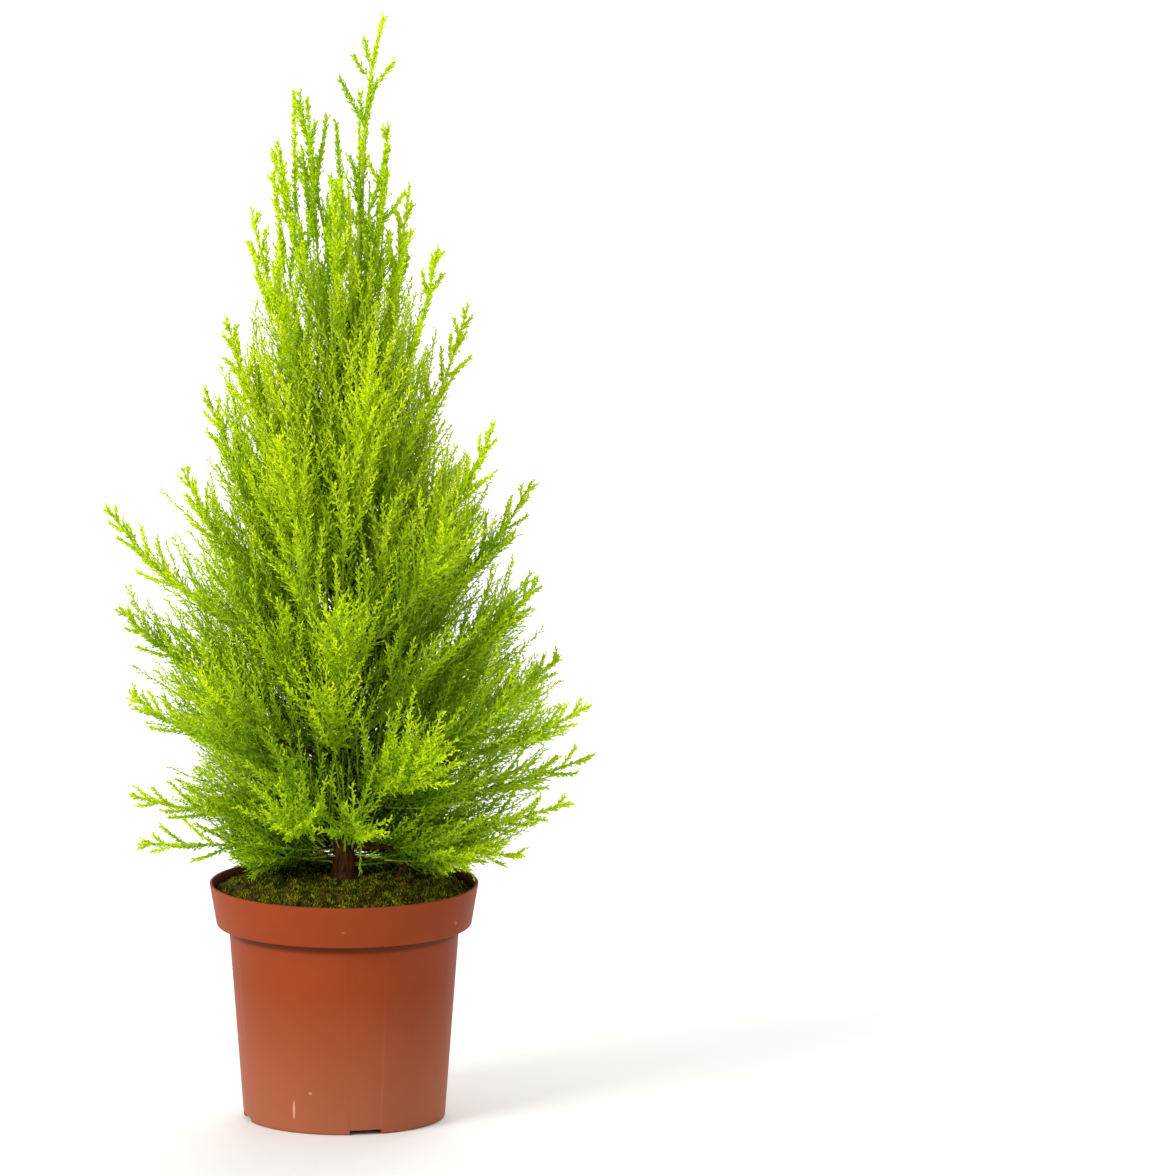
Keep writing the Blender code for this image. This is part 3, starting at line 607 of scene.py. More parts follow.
def mesh_piece(name, points, faces, material, slot, smooth=False):
    """Makes one object that rides on the plant from an array of points and a list of arrays of faces."""
    mesh = bpy.data.meshes.new(name)
    sizes = np.concatenate([np.full(len(part), part.shape[1]) for part in faces])
    corners = np.concatenate([part.ravel() for part in faces])
    mesh.vertices.add(len(points))
    mesh.vertices.foreach_set("co", np.ascontiguousarray(points, np.float32).ravel())
    mesh.loops.add(len(corners))
    mesh.loops.foreach_set("vertex_index", corners.astype(np.int32))
    mesh.polygons.add(len(sizes))
    mesh.polygons.foreach_set("loop_start", (np.cumsum(sizes) - sizes).astype(np.int32))
    mesh.polygons.foreach_set("use_smooth", np.full(len(sizes), smooth))
    mesh.update(calc_edges=True)
    mesh.materials.append(material)
    piece = bpy.data.objects.new(name, mesh)
    bpy.context.scene.collection.objects.link(piece)
    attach(piece, "root")
    return piece


def grid_faces(rows, columns, wrap=True):
    """Quads of a grid of points, row after row; wrap joins the last column to the first."""
    across = columns if wrap else columns - 1
    row, column = np.meshgrid(np.arange(rows - 1), np.arange(across), indexing="ij")
    here = row * columns + column
    beside = row * columns + (column + 1) % columns
    return np.stack([here, beside, beside + columns, here + columns], axis=-1).reshape(-1, 4)


def closed_faces(rows, columns):
    """Faces of a grid turned round an axis, closed at both ends by triangles to a pole each.

    The first row's pole is the point after the grid's last, and the last row's pole is the next one.
    """
    first = np.arange(columns)
    following = (first + 1) % columns
    last_row = (rows - 1) * columns
    low_pole = np.stack([np.full(columns, rows * columns), following, first], axis=1)
    high_pole = np.stack([low_pole[:, 0] + 1, last_row + first, last_row + following], axis=1)
    return [grid_faces(rows, columns), low_pole, high_pole]


def add_node(tree, kind, settings=None, links=None):
    """Adds a shader node, sets its properties and sockets by name or place, and links its inputs."""
    node = tree.nodes.new("ShaderNode" + kind)
    for key, value in (settings or {}).items():
        if isinstance(key, int) or key in node.inputs:
            node.inputs[key].default_value = value
        else:
            setattr(node, key, value)
    for key, socket in (links or {}).items():
        tree.links.new(socket, node.inputs[key])
    return node


def new_material(name, colour, roughness, **sockets):
    """A material on one Principled shader with constant values, as (material, node tree, shader)."""
    made = bpy.data.materials.new(name)
    made.use_nodes = True
    shader = made.node_tree.nodes["Principled BSDF"]
    shader.inputs["Base Color"].default_value = (*colour, 1.0)
    shader.inputs["Roughness"].default_value = roughness
    for key, value in sockets.items():
        shader.inputs[key.replace("_", " ")].default_value = value
    return made, made.node_tree, shader


def raise_pattern(tree, shader, pattern, strength, distance):
    """Raises a material's surface where a pattern is light, by a distance in metres."""
    bump = add_node(tree, "Bump", {"Strength": strength, "Distance": distance}, {"Height": pattern})
    tree.links.new(bump.outputs[0], shader.inputs["Normal"])


def colour_pattern(tree, shader, pattern, stops):
    """Colours a material by a pattern, through two stops of place and hex colour."""
    ramp = add_node(tree, "ValToRGB", None, {"Fac": pattern})
    for element, (position, colour) in zip(ramp.color_ramp.elements, stops):
        element.position = position
        element.color = (*linear(colour), 1.0)
    tree.links.new(ramp.outputs[0], shader.inputs["Base Color"])


def ellipse_mask(tree, place, centre, reach):
    """A soft mask that is 1 inside an ellipsoid of the given centre and reach and 0 outside it."""
    scale = [1.0 / r for r in reach]
    shift = [-c / r for c, r in zip(centre, reach)]
    moved = add_node(tree, "Mapping", {"Scale": scale, "Location": shift}, {"Vector": place})
    away = add_node(tree, "VectorMath", {"operation": "LENGTH"}, {0: moved.outputs[0]})
    settings = {"From Min": 0.75, "From Max": 1.0, "To Min": 1.0, "To Max": 0.0}
    return add_node(tree, "MapRange", settings, {"Value": away.outputs["Value"]}).outputs[0]


def ramp_mask(tree, value, start, full, strength):
    """A mask that goes evenly from 0 at the start value to its strength at the full value."""
    settings = {"From Min": start, "From Max": full, "To Min": 0.0, "To Max": strength}
    return add_node(tree, "MapRange", settings, {"Value": value}).outputs[0]


def rim_shade_mask(tree, place, height):
    """Where painted shade darkens the band's inner wall: a point nearer the axis than the middle of the wall.
    """
    settings = {
        "From Min": LEDGE,
        "From Max": POT_HEIGHT,
        "To Min": BAND_LOW_RADIUS - POT_WALL / 2.0,
        "To Max": RIM_RADIUS - POT_WALL / 2.0,
    }
    middle = add_node(tree, "MapRange", settings, {"Value": height}).outputs[0]
    settings = {"operation": "MULTIPLY", 1: (1.0, 1.0, 0.0)}
    level = add_node(tree, "VectorMath", settings, {0: place}).outputs[0]
    out = add_node(tree, "VectorMath", {"operation": "LENGTH"}, {0: level}).outputs["Value"]
    inside = add_node(tree, "Math", {"operation": "LESS_THAN"}, {0: out, 1: middle}).outputs[0]
    depth = ramp_mask(tree, height, RIM_SHADE_FROM, RIM_SHADE_FULL, RIM_SHADE_STRENGTH)
    banded = add_node(tree, "Math", {"operation": "GREATER_THAN", 1: RIM_SHADE_LOW}, {0: height}).outputs[0]
    mask = add_node(tree, "Math", {"operation": "MULTIPLY"}, {0: inside, 1: depth}).outputs[0]
    return add_node(tree, "Math", {"operation": "MULTIPLY"}, {0: mask, 1: banded}).outputs[0]


def moulded_polypropylene(colour):
    """Injection-moulded polypropylene, coloured in the mass: a satin skin with soft, wide highlights.

    Faint cloudy patches a few centimetres wide, and a skin of fine grain, about 1 mm, that blurs reflections.
    Pale scuffs and flecks lie where the pot has been rubbed. Painted light pales it towards the foot, and
    painted shade darkens the corner under the band and the inside of the rim.
    """
    sockets = {"IOR": 1.49, "Specular_IOR_Level": 0.10}
    made, tree, shader = new_material("moulded_polypropylene", colour, 0.5, **sockets)
    place = add_node(tree, "TexCoord").outputs["Object"]
    cloud = add_node(tree, "TexNoise", {"Scale": 26.0, "Detail": 3.0}, {"Vector": place})
    lighter = tuple(min(1.0, c * 1.14 + 0.004) for c in colour)
    darker = tuple(c * 0.90 for c in colour)
    settings = {"data_type": "RGBA", 6: (*darker, 1.0), 7: (*lighter, 1.0)}
    tone = add_node(tree, "Mix", settings, {0: cloud.outputs[0]}).outputs[2]
    layers = []
    for centre, reach, strength in SCUFFS:
        mask = ellipse_mask(tree, place, centre, reach)
        faded = add_node(tree, "Math", {"operation": "MULTIPLY", 1: strength}, {0: mask}).outputs[0]
        layers.append((faded, SCUFF_COLOUR))
    height = add_node(tree, "SeparateXYZ", None, {"Vector": place}).outputs["Z"]
    # Painted shade in the corner just under the band
    below = ramp_mask(tree, height, BAND_SHADE_FROM, BAND_SHADE_FULL, BAND_SHADE_STRENGTH)
    under = add_node(tree, "Math", {"operation": "LESS_THAN", 1: BAND_SHADE_TOP}, {0: height}).outputs[0]
    corner = add_node(tree, "Math", {"operation": "MULTIPLY"}, {0: below, 1: under}).outputs[0]
    layers.append((corner, BAND_SHADE_COLOUR))
    # Painted shade on the inside of the rim
    layers.append((rim_shade_mask(tree, place, height), RIM_SHADE_COLOUR))
    # Painted light: paler towards the foot, for the light that the floor throws back
    settings = {"From Min": 0.0, "From Max": FOOT_BOUNCE_HEIGHT, "To Min": FOOT_BOUNCE_STRENGTH, "To Max": 0.0}
    layers.append((add_node(tree, "MapRange", settings, {"Value": height}).outputs[0], FOOT_BOUNCE_COLOUR))
    for mask, layer_colour in layers:
        settings = {"data_type": "RGBA", 7: (*linear(layer_colour), 1.0)}
        tone = add_node(tree, "Mix", settings, {0: mask, 6: tone}).outputs[2]
    tree.links.new(tone, shader.inputs["Base Color"])
    grain = add_node(tree, "TexNoise", {"Scale": 1100.0, "Detail": 2.0}, {"Vector": place})
    raise_pattern(tree, shader, grain.outputs[0], 0.12, 0.0002)
    return made


def bark_material():
    """Young cypress bark: thin, reddish brown, drying into fine upright strips with paler edges.

    The strips are about 1.2 mm wide and several times as long, so the pattern is stretched along Z.
    """
    sockets = {"IOR": 1.45, "Specular_IOR_Level": 0.2}
    made, tree, shader = new_material("cypress_bark", linear("#5E3414"), 0.9, **sockets)
    place = add_node(tree, "TexCoord").outputs["Object"]
    stretch = add_node(tree, "Mapping", {"Scale": (800.0, 800.0, 130.0)}, {"Vector": place}).outputs[0]
    strips = add_node(tree, "TexNoise", {"Scale": 1.0, "Detail": 5.0}, {"Vector": stretch}).outputs[0]
    colour_pattern(tree, shader, strips, ((0.34, "#1C0D03"), (0.68, "#5E3410")))
    raise_pattern(tree, shader, strips, 0.6, 0.0006)
    return made


def leaf_material(name, hex_colour):
    """Living scale and needle leaf: a waxy, slightly glossy skin over lit-through green tissue."""
    return new_material(name, linear(hex_colour), 0.6, IOR=1.42, Specular_IOR_Level=0.2)[0]


def compost_material():
    """Moist peat compost: nearly black, matt, in grains of about 1 to 3 mm with brown fibres between."""
    sockets = {"IOR": 1.45, "Specular_IOR_Level": 0.15}
    made, tree, shader = new_material("moist_compost", linear("#2A2114"), 0.93, **sockets)
    place = add_node(tree, "TexCoord").outputs["Object"]
    grains = add_node(tree, "TexNoise", {"Scale": 420.0, "Detail": 6.0}, {"Vector": place}).outputs[0]
    colour_pattern(tree, shader, grains, ((0.38, "#1C1506"), (0.70, "#6A5418")))
    raise_pattern(tree, shader, grains, 0.8, 0.001)
    return made


def rounded(corners, steps=CORNER_STEPS):
    """An outline through (radius, height, rounding) corners, each rounding drawn as a smooth curve.

    A rounding starts and ends at its length from the corner and is a parabola drawn towards the corner.
    """
    points = []
    for k, (r, z, rounding) in enumerate(corners):
        here = np.array([r, z])
        if rounding == 0.0 or k in (0, len(corners) - 1):
            points.append(here[None])
            continue
        before, after = np.array(corners[k - 1][:2]), np.array(corners[k + 1][:2])
        first = here + unit(before - here) * rounding
        last = here + unit(after - here) * rounding
        t = np.linspace(0.0, 1.0, steps)[:, None]
        points.append(parabola(first, here, last, t))
    return np.concatenate(points)


def inner_radius(height):
    """The pot's inner wall at a height, from the floor to the rim."""
    low = BODY_LOW_RADIUS + (BODY_TOP_RADIUS - BODY_LOW_RADIUS) * height / LEDGE - POT_WALL
    share = (height - LEDGE) / BAND_HEIGHT
    high = BAND_LOW_RADIUS + (RIM_RADIUS - BAND_LOW_RADIUS) * share - POT_WALL
    return np.where(height < LEDGE, low, high)


def pot_outline(edge_round):
    """The pot's section, from the middle of its underside round the rim to the middle of its floor.

    Each corner is its radius, its height and how far from it its rounding starts.
    """
    floor_top = FLOOR_RISE + POT_WALL
    foot_inner = BODY_LOW_RADIUS - FOOT_WIDTH
    corners = (
        (0.0, 0.0, 0.0),
        (CENTRE_FOOT_RADIUS, 0.0, 0.0004),
        (CENTRE_FOOT_RADIUS + POT_WALL, FLOOR_RISE, 0.0004),
        (foot_inner, FLOOR_RISE, 0.0004),
        (foot_inner, 0.0, 0.0003),
        (BODY_LOW_RADIUS, 0.0, edge_round),
        (BODY_TOP_RADIUS, LEDGE, 0.0005),
        (BAND_LOW_RADIUS, LEDGE, 0.0011),
        (RIM_RADIUS, POT_HEIGHT, 0.0005),
        (float(inner_radius(POT_HEIGHT)), POT_HEIGHT, 0.0004),
        (float(inner_radius(LEDGE + POT_WALL)), LEDGE + POT_WALL, 0.0006),
        (BODY_TOP_RADIUS - POT_WALL, LEDGE + POT_WALL, 0.0006),
        (float(inner_radius(floor_top)), floor_top, 0.0006),
        (CENTRE_FOOT_RADIUS, floor_top, 0.0004),
        (CENTRE_FOOT_RADIUS - POT_WALL, POT_WALL, 0.0004),
        (0.0, POT_WALL, 0.0),
    )
    return rounded(corners)


def turn_to_nearest(angles, others):
    """How far each angle is from the nearest of the others, the shorter way round."""
    return np.abs((angles[:, None] - others[None] + math.pi) % TURN - math.pi).min(axis=1)


def pot_angles():
    """Angles round the pot, and whether each lies in a notch.

    They are even, with an extra pair close together at each notch's two sides.
    """
    even = np.linspace(0.0, TURN, POT_COLUMNS, endpoint=False)
    half = NOTCH_WIDTH / 2.0 / BODY_LOW_RADIUS
    middles = NOTCH_FIRST + TURN * np.arange(NOTCH_COUNT) / NOTCH_COUNT
    sides = np.concatenate([middles - half, middles + half])
    near = np.concatenate([sides - NOTCH_SIDE_TURN, sides + NOTCH_SIDE_TURN])
    clear = turn_to_nearest(even, sides) > NOTCH_CLEAR_TURN
    angles = np.sort(np.concatenate([even[clear], near % TURN]))
    return angles, turn_to_nearest(angles, middles) < half


class CYPRESS_OT_pot(bpy.types.Operator):
    """Turns the pot's section round its axis, with drainage notches in its foot and holes in its floor.

    A point at height z on the section at radius r goes to r times the cosine and sine of each angle. Within a
    notch's angles the foot ring's points lower than the notch is high are lifted to that height.
    """

    bl_idname = "cypress.pot"
    bl_label = "Pot"

    def execute(self, context):
        settings = context.scene.cypress_pot
        outline = pot_outline(settings.edge_round)
        angles, notched = pot_angles()
        inner = outline[1:-1]
        radius = inner[:, 0:1] * np.ones_like(angles)
        height = inner[:, 1:2] * np.ones_like(angles)
        in_foot = inner[:, 0:1] > BODY_LOW_RADIUS - 1.5 * FOOT_WIDTH
        height = np.where(in_foot & notched, np.maximum(height, NOTCH_HEIGHT), height)
        rings = np.stack([radius * np.cos(angles), radius * np.sin(angles), height], axis=-1)
        rows, columns = radius.shape
        poles = np.array([[0.0, 0.0, outline[0, 1]], [0.0, 0.0, outline[-1, 1]]])
        points = np.concatenate([rings.reshape(-1, 3), poles])
        plastic = moulded_polypropylene(tuple(settings.colour))
        pot = mesh_piece("pot_shell", points, closed_faces(rows, columns), plastic, "pot", smooth=True)
        cut_drains(pot)
        pot.data.set_sharp_from_angle(angle=SHARP_ANGLE)
        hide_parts("pot")
        return {"FINISHED"}


def cut_drains(pot):
    """Cuts a ring of round holes through the raised floor by a Boolean that is then applied."""
    middle = FLOOR_RISE + POT_WALL / 2.0
    turns = TURN * (np.arange(DRAIN_COUNT) + 0.5) / DRAIN_COUNT
    for turn in turns:
        centre = (DRAIN_CIRCLE_RADIUS * math.cos(turn), DRAIN_CIRCLE_RADIUS * math.sin(turn), middle)
        size = {"radius": DRAIN_RADIUS, "depth": DRAIN_CUTTER_HEIGHT}
        bpy.ops.mesh.primitive_cylinder_add(vertices=DRAIN_SIDES, location=centre, **size)
        cutter = bpy.context.object
        hole = pot.modifiers.new("drain", "BOOLEAN")
        hole.object = cutter
        hole.solver = "EXACT"
        with bpy.context.temp_override(object=pot, active_object=pot):
            bpy.ops.object.modifier_apply(modifier=hole.name)
        bpy.data.objects.remove(cutter)


def waves(x, y, length, count, seed):
    """A lumpy surface from -1 to 1: the mean of plane waves of about one length in scattered directions."""
    k = np.arange(count)
    turn = TURN * noise(k, seed, 1)
    phase = TURN * noise(k, seed, 2)
    number = TURN / (length * jittered(WAVE_LENGTH_JITTER, noise(k, seed, 3)))
    inside = np.asarray(x)[..., None] * np.cos(turn) + np.asarray(y)[..., None] * np.sin(turn)
    return np.sin(inside * number + phase).sum(axis=-1) / math.sqrt(count)


def with_waves(start, x, y, layers):
    """A starting value with layers of waves added, each times its weight."""
    for weight, length, count, seed in layers:
        start = start + weight * waves(x, y, length, count, seed)
    return start


def soil_height(x, y):
    """The soil's surface: a low dome with moss hummocks about 14 mm across and lumps about 5 mm across."""
    radius = np.hypot(x, y)
    across = (0.0, SOIL_FLAT_RADIUS, SOIL_SHOULDER[0], float(inner_radius(SOIL_EDGE_TOP)))
    heights = (SOIL_TOP, SOIL_TOP, SOIL_SHOULDER[1], SOIL_EDGE_TOP)
    dome = np.interp(radius, across, heights)
    return with_waves(dome, x, y, SOIL_WAVES)


def in_disc(count, radius, seed):
    """Points spread evenly in a disc, from repeatable noise: the radius goes with the square root."""
    k = np.arange(count)
    turn = TURN * noise(k, seed, 11)
    out = radius * np.sqrt(noise(k, seed, 12))
    return out * np.cos(turn), out * np.sin(turn)


def spikes(roots, ways, lengths, widths, faces_up, thickness=0.35, shoulder=0.4):
    """Closed four-sided spikes: a root, a tip and two shoulders, as (points, faces).

    The shoulders stand half a width to each side at a share of the length, and a little below the line from
    root to tip, so each spike has a keel and a thickness.
    """
    side = unit(np.cross(ways, faces_up))
    over = np.cross(side, ways)
    along = ways * lengths[:, None]
    middle = roots + along * shoulder - over * (widths * thickness)[:, None]
    half = side * (widths / 2.0)[:, None]
    points = np.stack([roots, roots + along, middle + half, middle - half], axis=1)
    corners = np.array([[0, 1, 3], [0, 2, 1], [0, 3, 2], [1, 2, 3]])
    faces = corners[None] + 4 * np.arange(len(roots))[:, None, None]
    return points.reshape(-1, 3), faces.reshape(-1, 3)


def crumbs(centres, sizes, seed):
    """Eight-faced grains, each stretched and turned by repeatable noise, as (points, faces)."""
    count = len(centres)
    k = np.arange(count)[:, None]
    corners = np.array([[1, 0, 0], [0, 1, 0], [-1, 0, 0], [0, -1, 0], [0, 0, 1], [0, 0, -1]], float)
    uneven = jittered(CRUMB_UNEVEN_JITTER, noise(k, np.arange(len(corners))[None], seed))
    turn = TURN * noise(k[:, 0], seed, 3)
    shape = corners[None] * uneven[..., None] * sizes[:, None, None]
    x = shape[..., 0] * np.cos(turn)[:, None] - shape[..., 1] * np.sin(turn)[:, None]
    y = shape[..., 0] * np.sin(turn)[:, None] + shape[..., 1] * np.cos(turn)[:, None]
    points = np.stack([x, y, shape[..., 2] * CRUMB_FLATNESS], axis=-1) + centres[:, None]
    upper = [[0, 1, 4], [1, 2, 4], [2, 3, 4], [3, 0, 4]]
    lower = [[1, 0, 5], [2, 1, 5], [3, 2, 5], [0, 3, 5]]
    faces = np.array(upper + lower)[None] + len(corners) * np.arange(count)[:, None, None]
    return points.reshape(-1, 3), faces.reshape(-1, 3)


class CYPRESS_OT_soil(bpy.types.Operator):
    """Fills the pot with a domed, lumpy bed of compost, and sets moss, dry bits and crumbs on it.

    The bed's top is a height over x and y. Its side follows the pot's inner wall down, just inside it.
    """

    bl_idname = "cypress.soil"
    bl_label = "Soil and moss"

    def execute(self, context):
        settings = context.scene.cypress_soil
        self.make_bed()
        self.make_moss(settings)
        self.make_crumbs(settings)
        return {"FINISHED"}

    def make_bed(self):
        """Turns the bed's section: rows out to its edge, then its side and a flat underside.

        A row's radius is the edge's times a power of its share of the rows, so rows get closer outwards.
        """
        edge = float(inner_radius(SOIL_EDGE_TOP)) - GAP
        radius = np.linspace(0.0, 1.0, SOIL_ROWS)[1:, None] ** SOIL_ROW_CROWDING * edge
        turn = np.linspace(0.0, TURN, SOIL_COLUMNS, endpoint=False)[None]
        x, y = radius * np.cos(turn), radius * np.sin(turn)
        top = np.stack([x, y, soil_height(x, y)], axis=-1)
        low = FLOOR_RISE + POT_WALL + GAP
        ledge = LEDGE + POT_WALL
        wall_heights = np.array([ledge + GAP, ledge + GAP, low])
        wall_radii = np.array([inner_radius(ledge), BODY_TOP_RADIUS - POT_WALL, inner_radius(low)]) - GAP
        x, y = wall_radii[:, None] * np.cos(turn), wall_radii[:, None] * np.sin(turn)
        wall = np.stack([x, y, wall_heights[:, None] * np.ones_like(turn)], axis=-1)
        rings = np.concatenate([top, wall])[::-1]
        poles = np.array([[0.0, 0.0, low], [0.0, 0.0, float(soil_height(0.0, 0.0))]])
        points = np.concatenate([rings.reshape(-1, 3), poles])
        faces = closed_faces(len(rings), SOIL_COLUMNS)
        bed = mesh_piece("soil_bed", points, faces, compost_material(), "soil", smooth=True)
        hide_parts("soil")

    def make_moss(self, settings):
        """Sets moss shoots on the bed, thick where a slow wave is high and thin at the left edge."""
        count = settings.tufts
        edge = float(inner_radius(SOIL_EDGE_TOP)) - MOSS_FROM_WALL
        x, y = in_disc(count, edge, 21)
        k = np.arange(count)
        cover = with_waves(MOSS_COVER, x, y, MOSS_COVER_WAVES)
        cover -= MOSS_BARE_LEFT * np.clip((-x - MOSS_BARE_FROM) / MOSS_BARE_WIDTH, 0.0, 1.0)
        kept = noise(k, 22) < cover
        x, y, k = x[kept], y[kept], k[kept]
        roots = np.stack([x, y, soil_height(x, y) - MOSS_SINK], axis=1)
        lean = MOSS_LEAN * np.stack([noise(k, 23) - 0.5, noise(k, 24) - 0.5], axis=1)
        ways = unit(np.concatenate([lean, np.ones((len(k), 1))], axis=1))
        lengths = settings.tuft_height * jittered(MOSS_LENGTH_JITTER, noise(k, 25))
        lengths = np.abs(lengths * with_waves(MOSS_LENGTH, x, y, MOSS_LENGTH_WAVES)) + MOSS_LEAST
        widths = np.full(len(k), MOSS_WIDTH)
        across = outward(TURN * noise(k, 26))
        tone = with_waves(noise(k, 27), x, y, MOSS_TONE_WAVES)
        # Painted light: the moss is made lighter towards the right
        tone += MOSS_LIGHT_RIGHT * np.clip(x / MOSS_LIGHT_WIDTH, 0.0, 1.0)
        kind = np.digitize(tone, MOSS_KIND_STEPS)
        for place, (name, colour) in enumerate(MOSS_COLOURS):
            mine = kind == place
            points, faces = spikes(roots[mine], ways[mine], lengths[mine], widths[mine], across[mine])
            moss = new_material(name, linear(colour), 0.85, IOR=1.4, Specular_IOR_Level=0.08)[0]
            mesh_piece(name, points, [faces], moss, "soil")

    def make_crumbs(self, settings):
        """Scatters crumbs, most of them small and most of them at the left, partly sunk into the bed."""
        count = settings.crumbs
        edge = float(inner_radius(SOIL_EDGE_TOP)) - CRUMBS_FROM_WALL
        x, y = in_disc(count, edge, 31)
        k = np.arange(count)
        left = np.clip((-x - CRUMB_CROWD_FROM) / CRUMB_CROWD_WIDTH, 0.0, 1.0)
        crowd = noise(k, 32) < CRUMB_CROWD + CRUMB_CROWD_LEFT * left
        x, y, k = x[crowd], y[crowd], k[crowd]
        sizes = jittered(CRUMB_SIZE_JITTER, noise(k, 33) ** 2)
        centres = np.stack([x, y, soil_height(x, y) + sizes * CRUMB_STANDS], axis=1)
        points, faces = crumbs(centres, sizes, 34)
        mesh_piece("compost_crumbs", points, [faces], compost_material(), "soil")


def trunk_centre(height):
    """The trunk's centre line: a lean that grows with the square of the height, and a slight sway."""
    share = (np.asarray(height, float) - TRUNK_FOOT) / (TRUNK_TOP - TRUNK_FOOT)
    x = TRUNK_LEAN * share**2 - TRUNK_SWAY_ASIDE * np.sin(math.pi * share)
    y = TRUNK_SWAY_DEPTH * np.sin(TURN * share)
    return np.stack([x, y, share * (TRUNK_TOP - TRUNK_FOOT) + TRUNK_FOOT], axis=-1)


def trunk_radius(height):
    """An even taper, widened at the foot by a flare that dies away within a few millimetres."""
    above = np.maximum(np.asarray(height, float) - TRUNK_FOOT, 0.0)
    share = (above / (TRUNK_TOP - TRUNK_FOOT)) ** TAPER_POWER
    taper = between((TRUNK_LOW_RADIUS, TRUNK_TOP_RADIUS), share)
    return taper + FLARE_RADIUS * np.exp(-above / FLARE_HEIGHT)


def plume_roots(azimuth, tip_height, spacing):
    """Root heights on the trunk: the higher a plume's tip, the further below it the root, clear of others."""
    above = tip_height - LOWEST_TIP
    heights = LOWEST_ROOT + ROOT_RISE * above + ROOT_RISE_GROWTH * above**2
    out = outward(azimuth)
    places = np.zeros((len(heights), 3))
    for k, height in enumerate(heights):
        skin = out[k] * trunk_radius(height)
        while (np.linalg.norm(trunk_centre(height) + skin - places[:k], axis=1) < spacing[k]).any():
            height += ROOT_STEP
        places[k] = trunk_centre(height) + skin
        heights[k] = height
    return heights


def crown_radius(heights):
    """The crown's mean reach at each height."""
    levels, reaches = np.array(DEPTH_OUTLINE).T
    return np.interp(heights, levels, reaches)


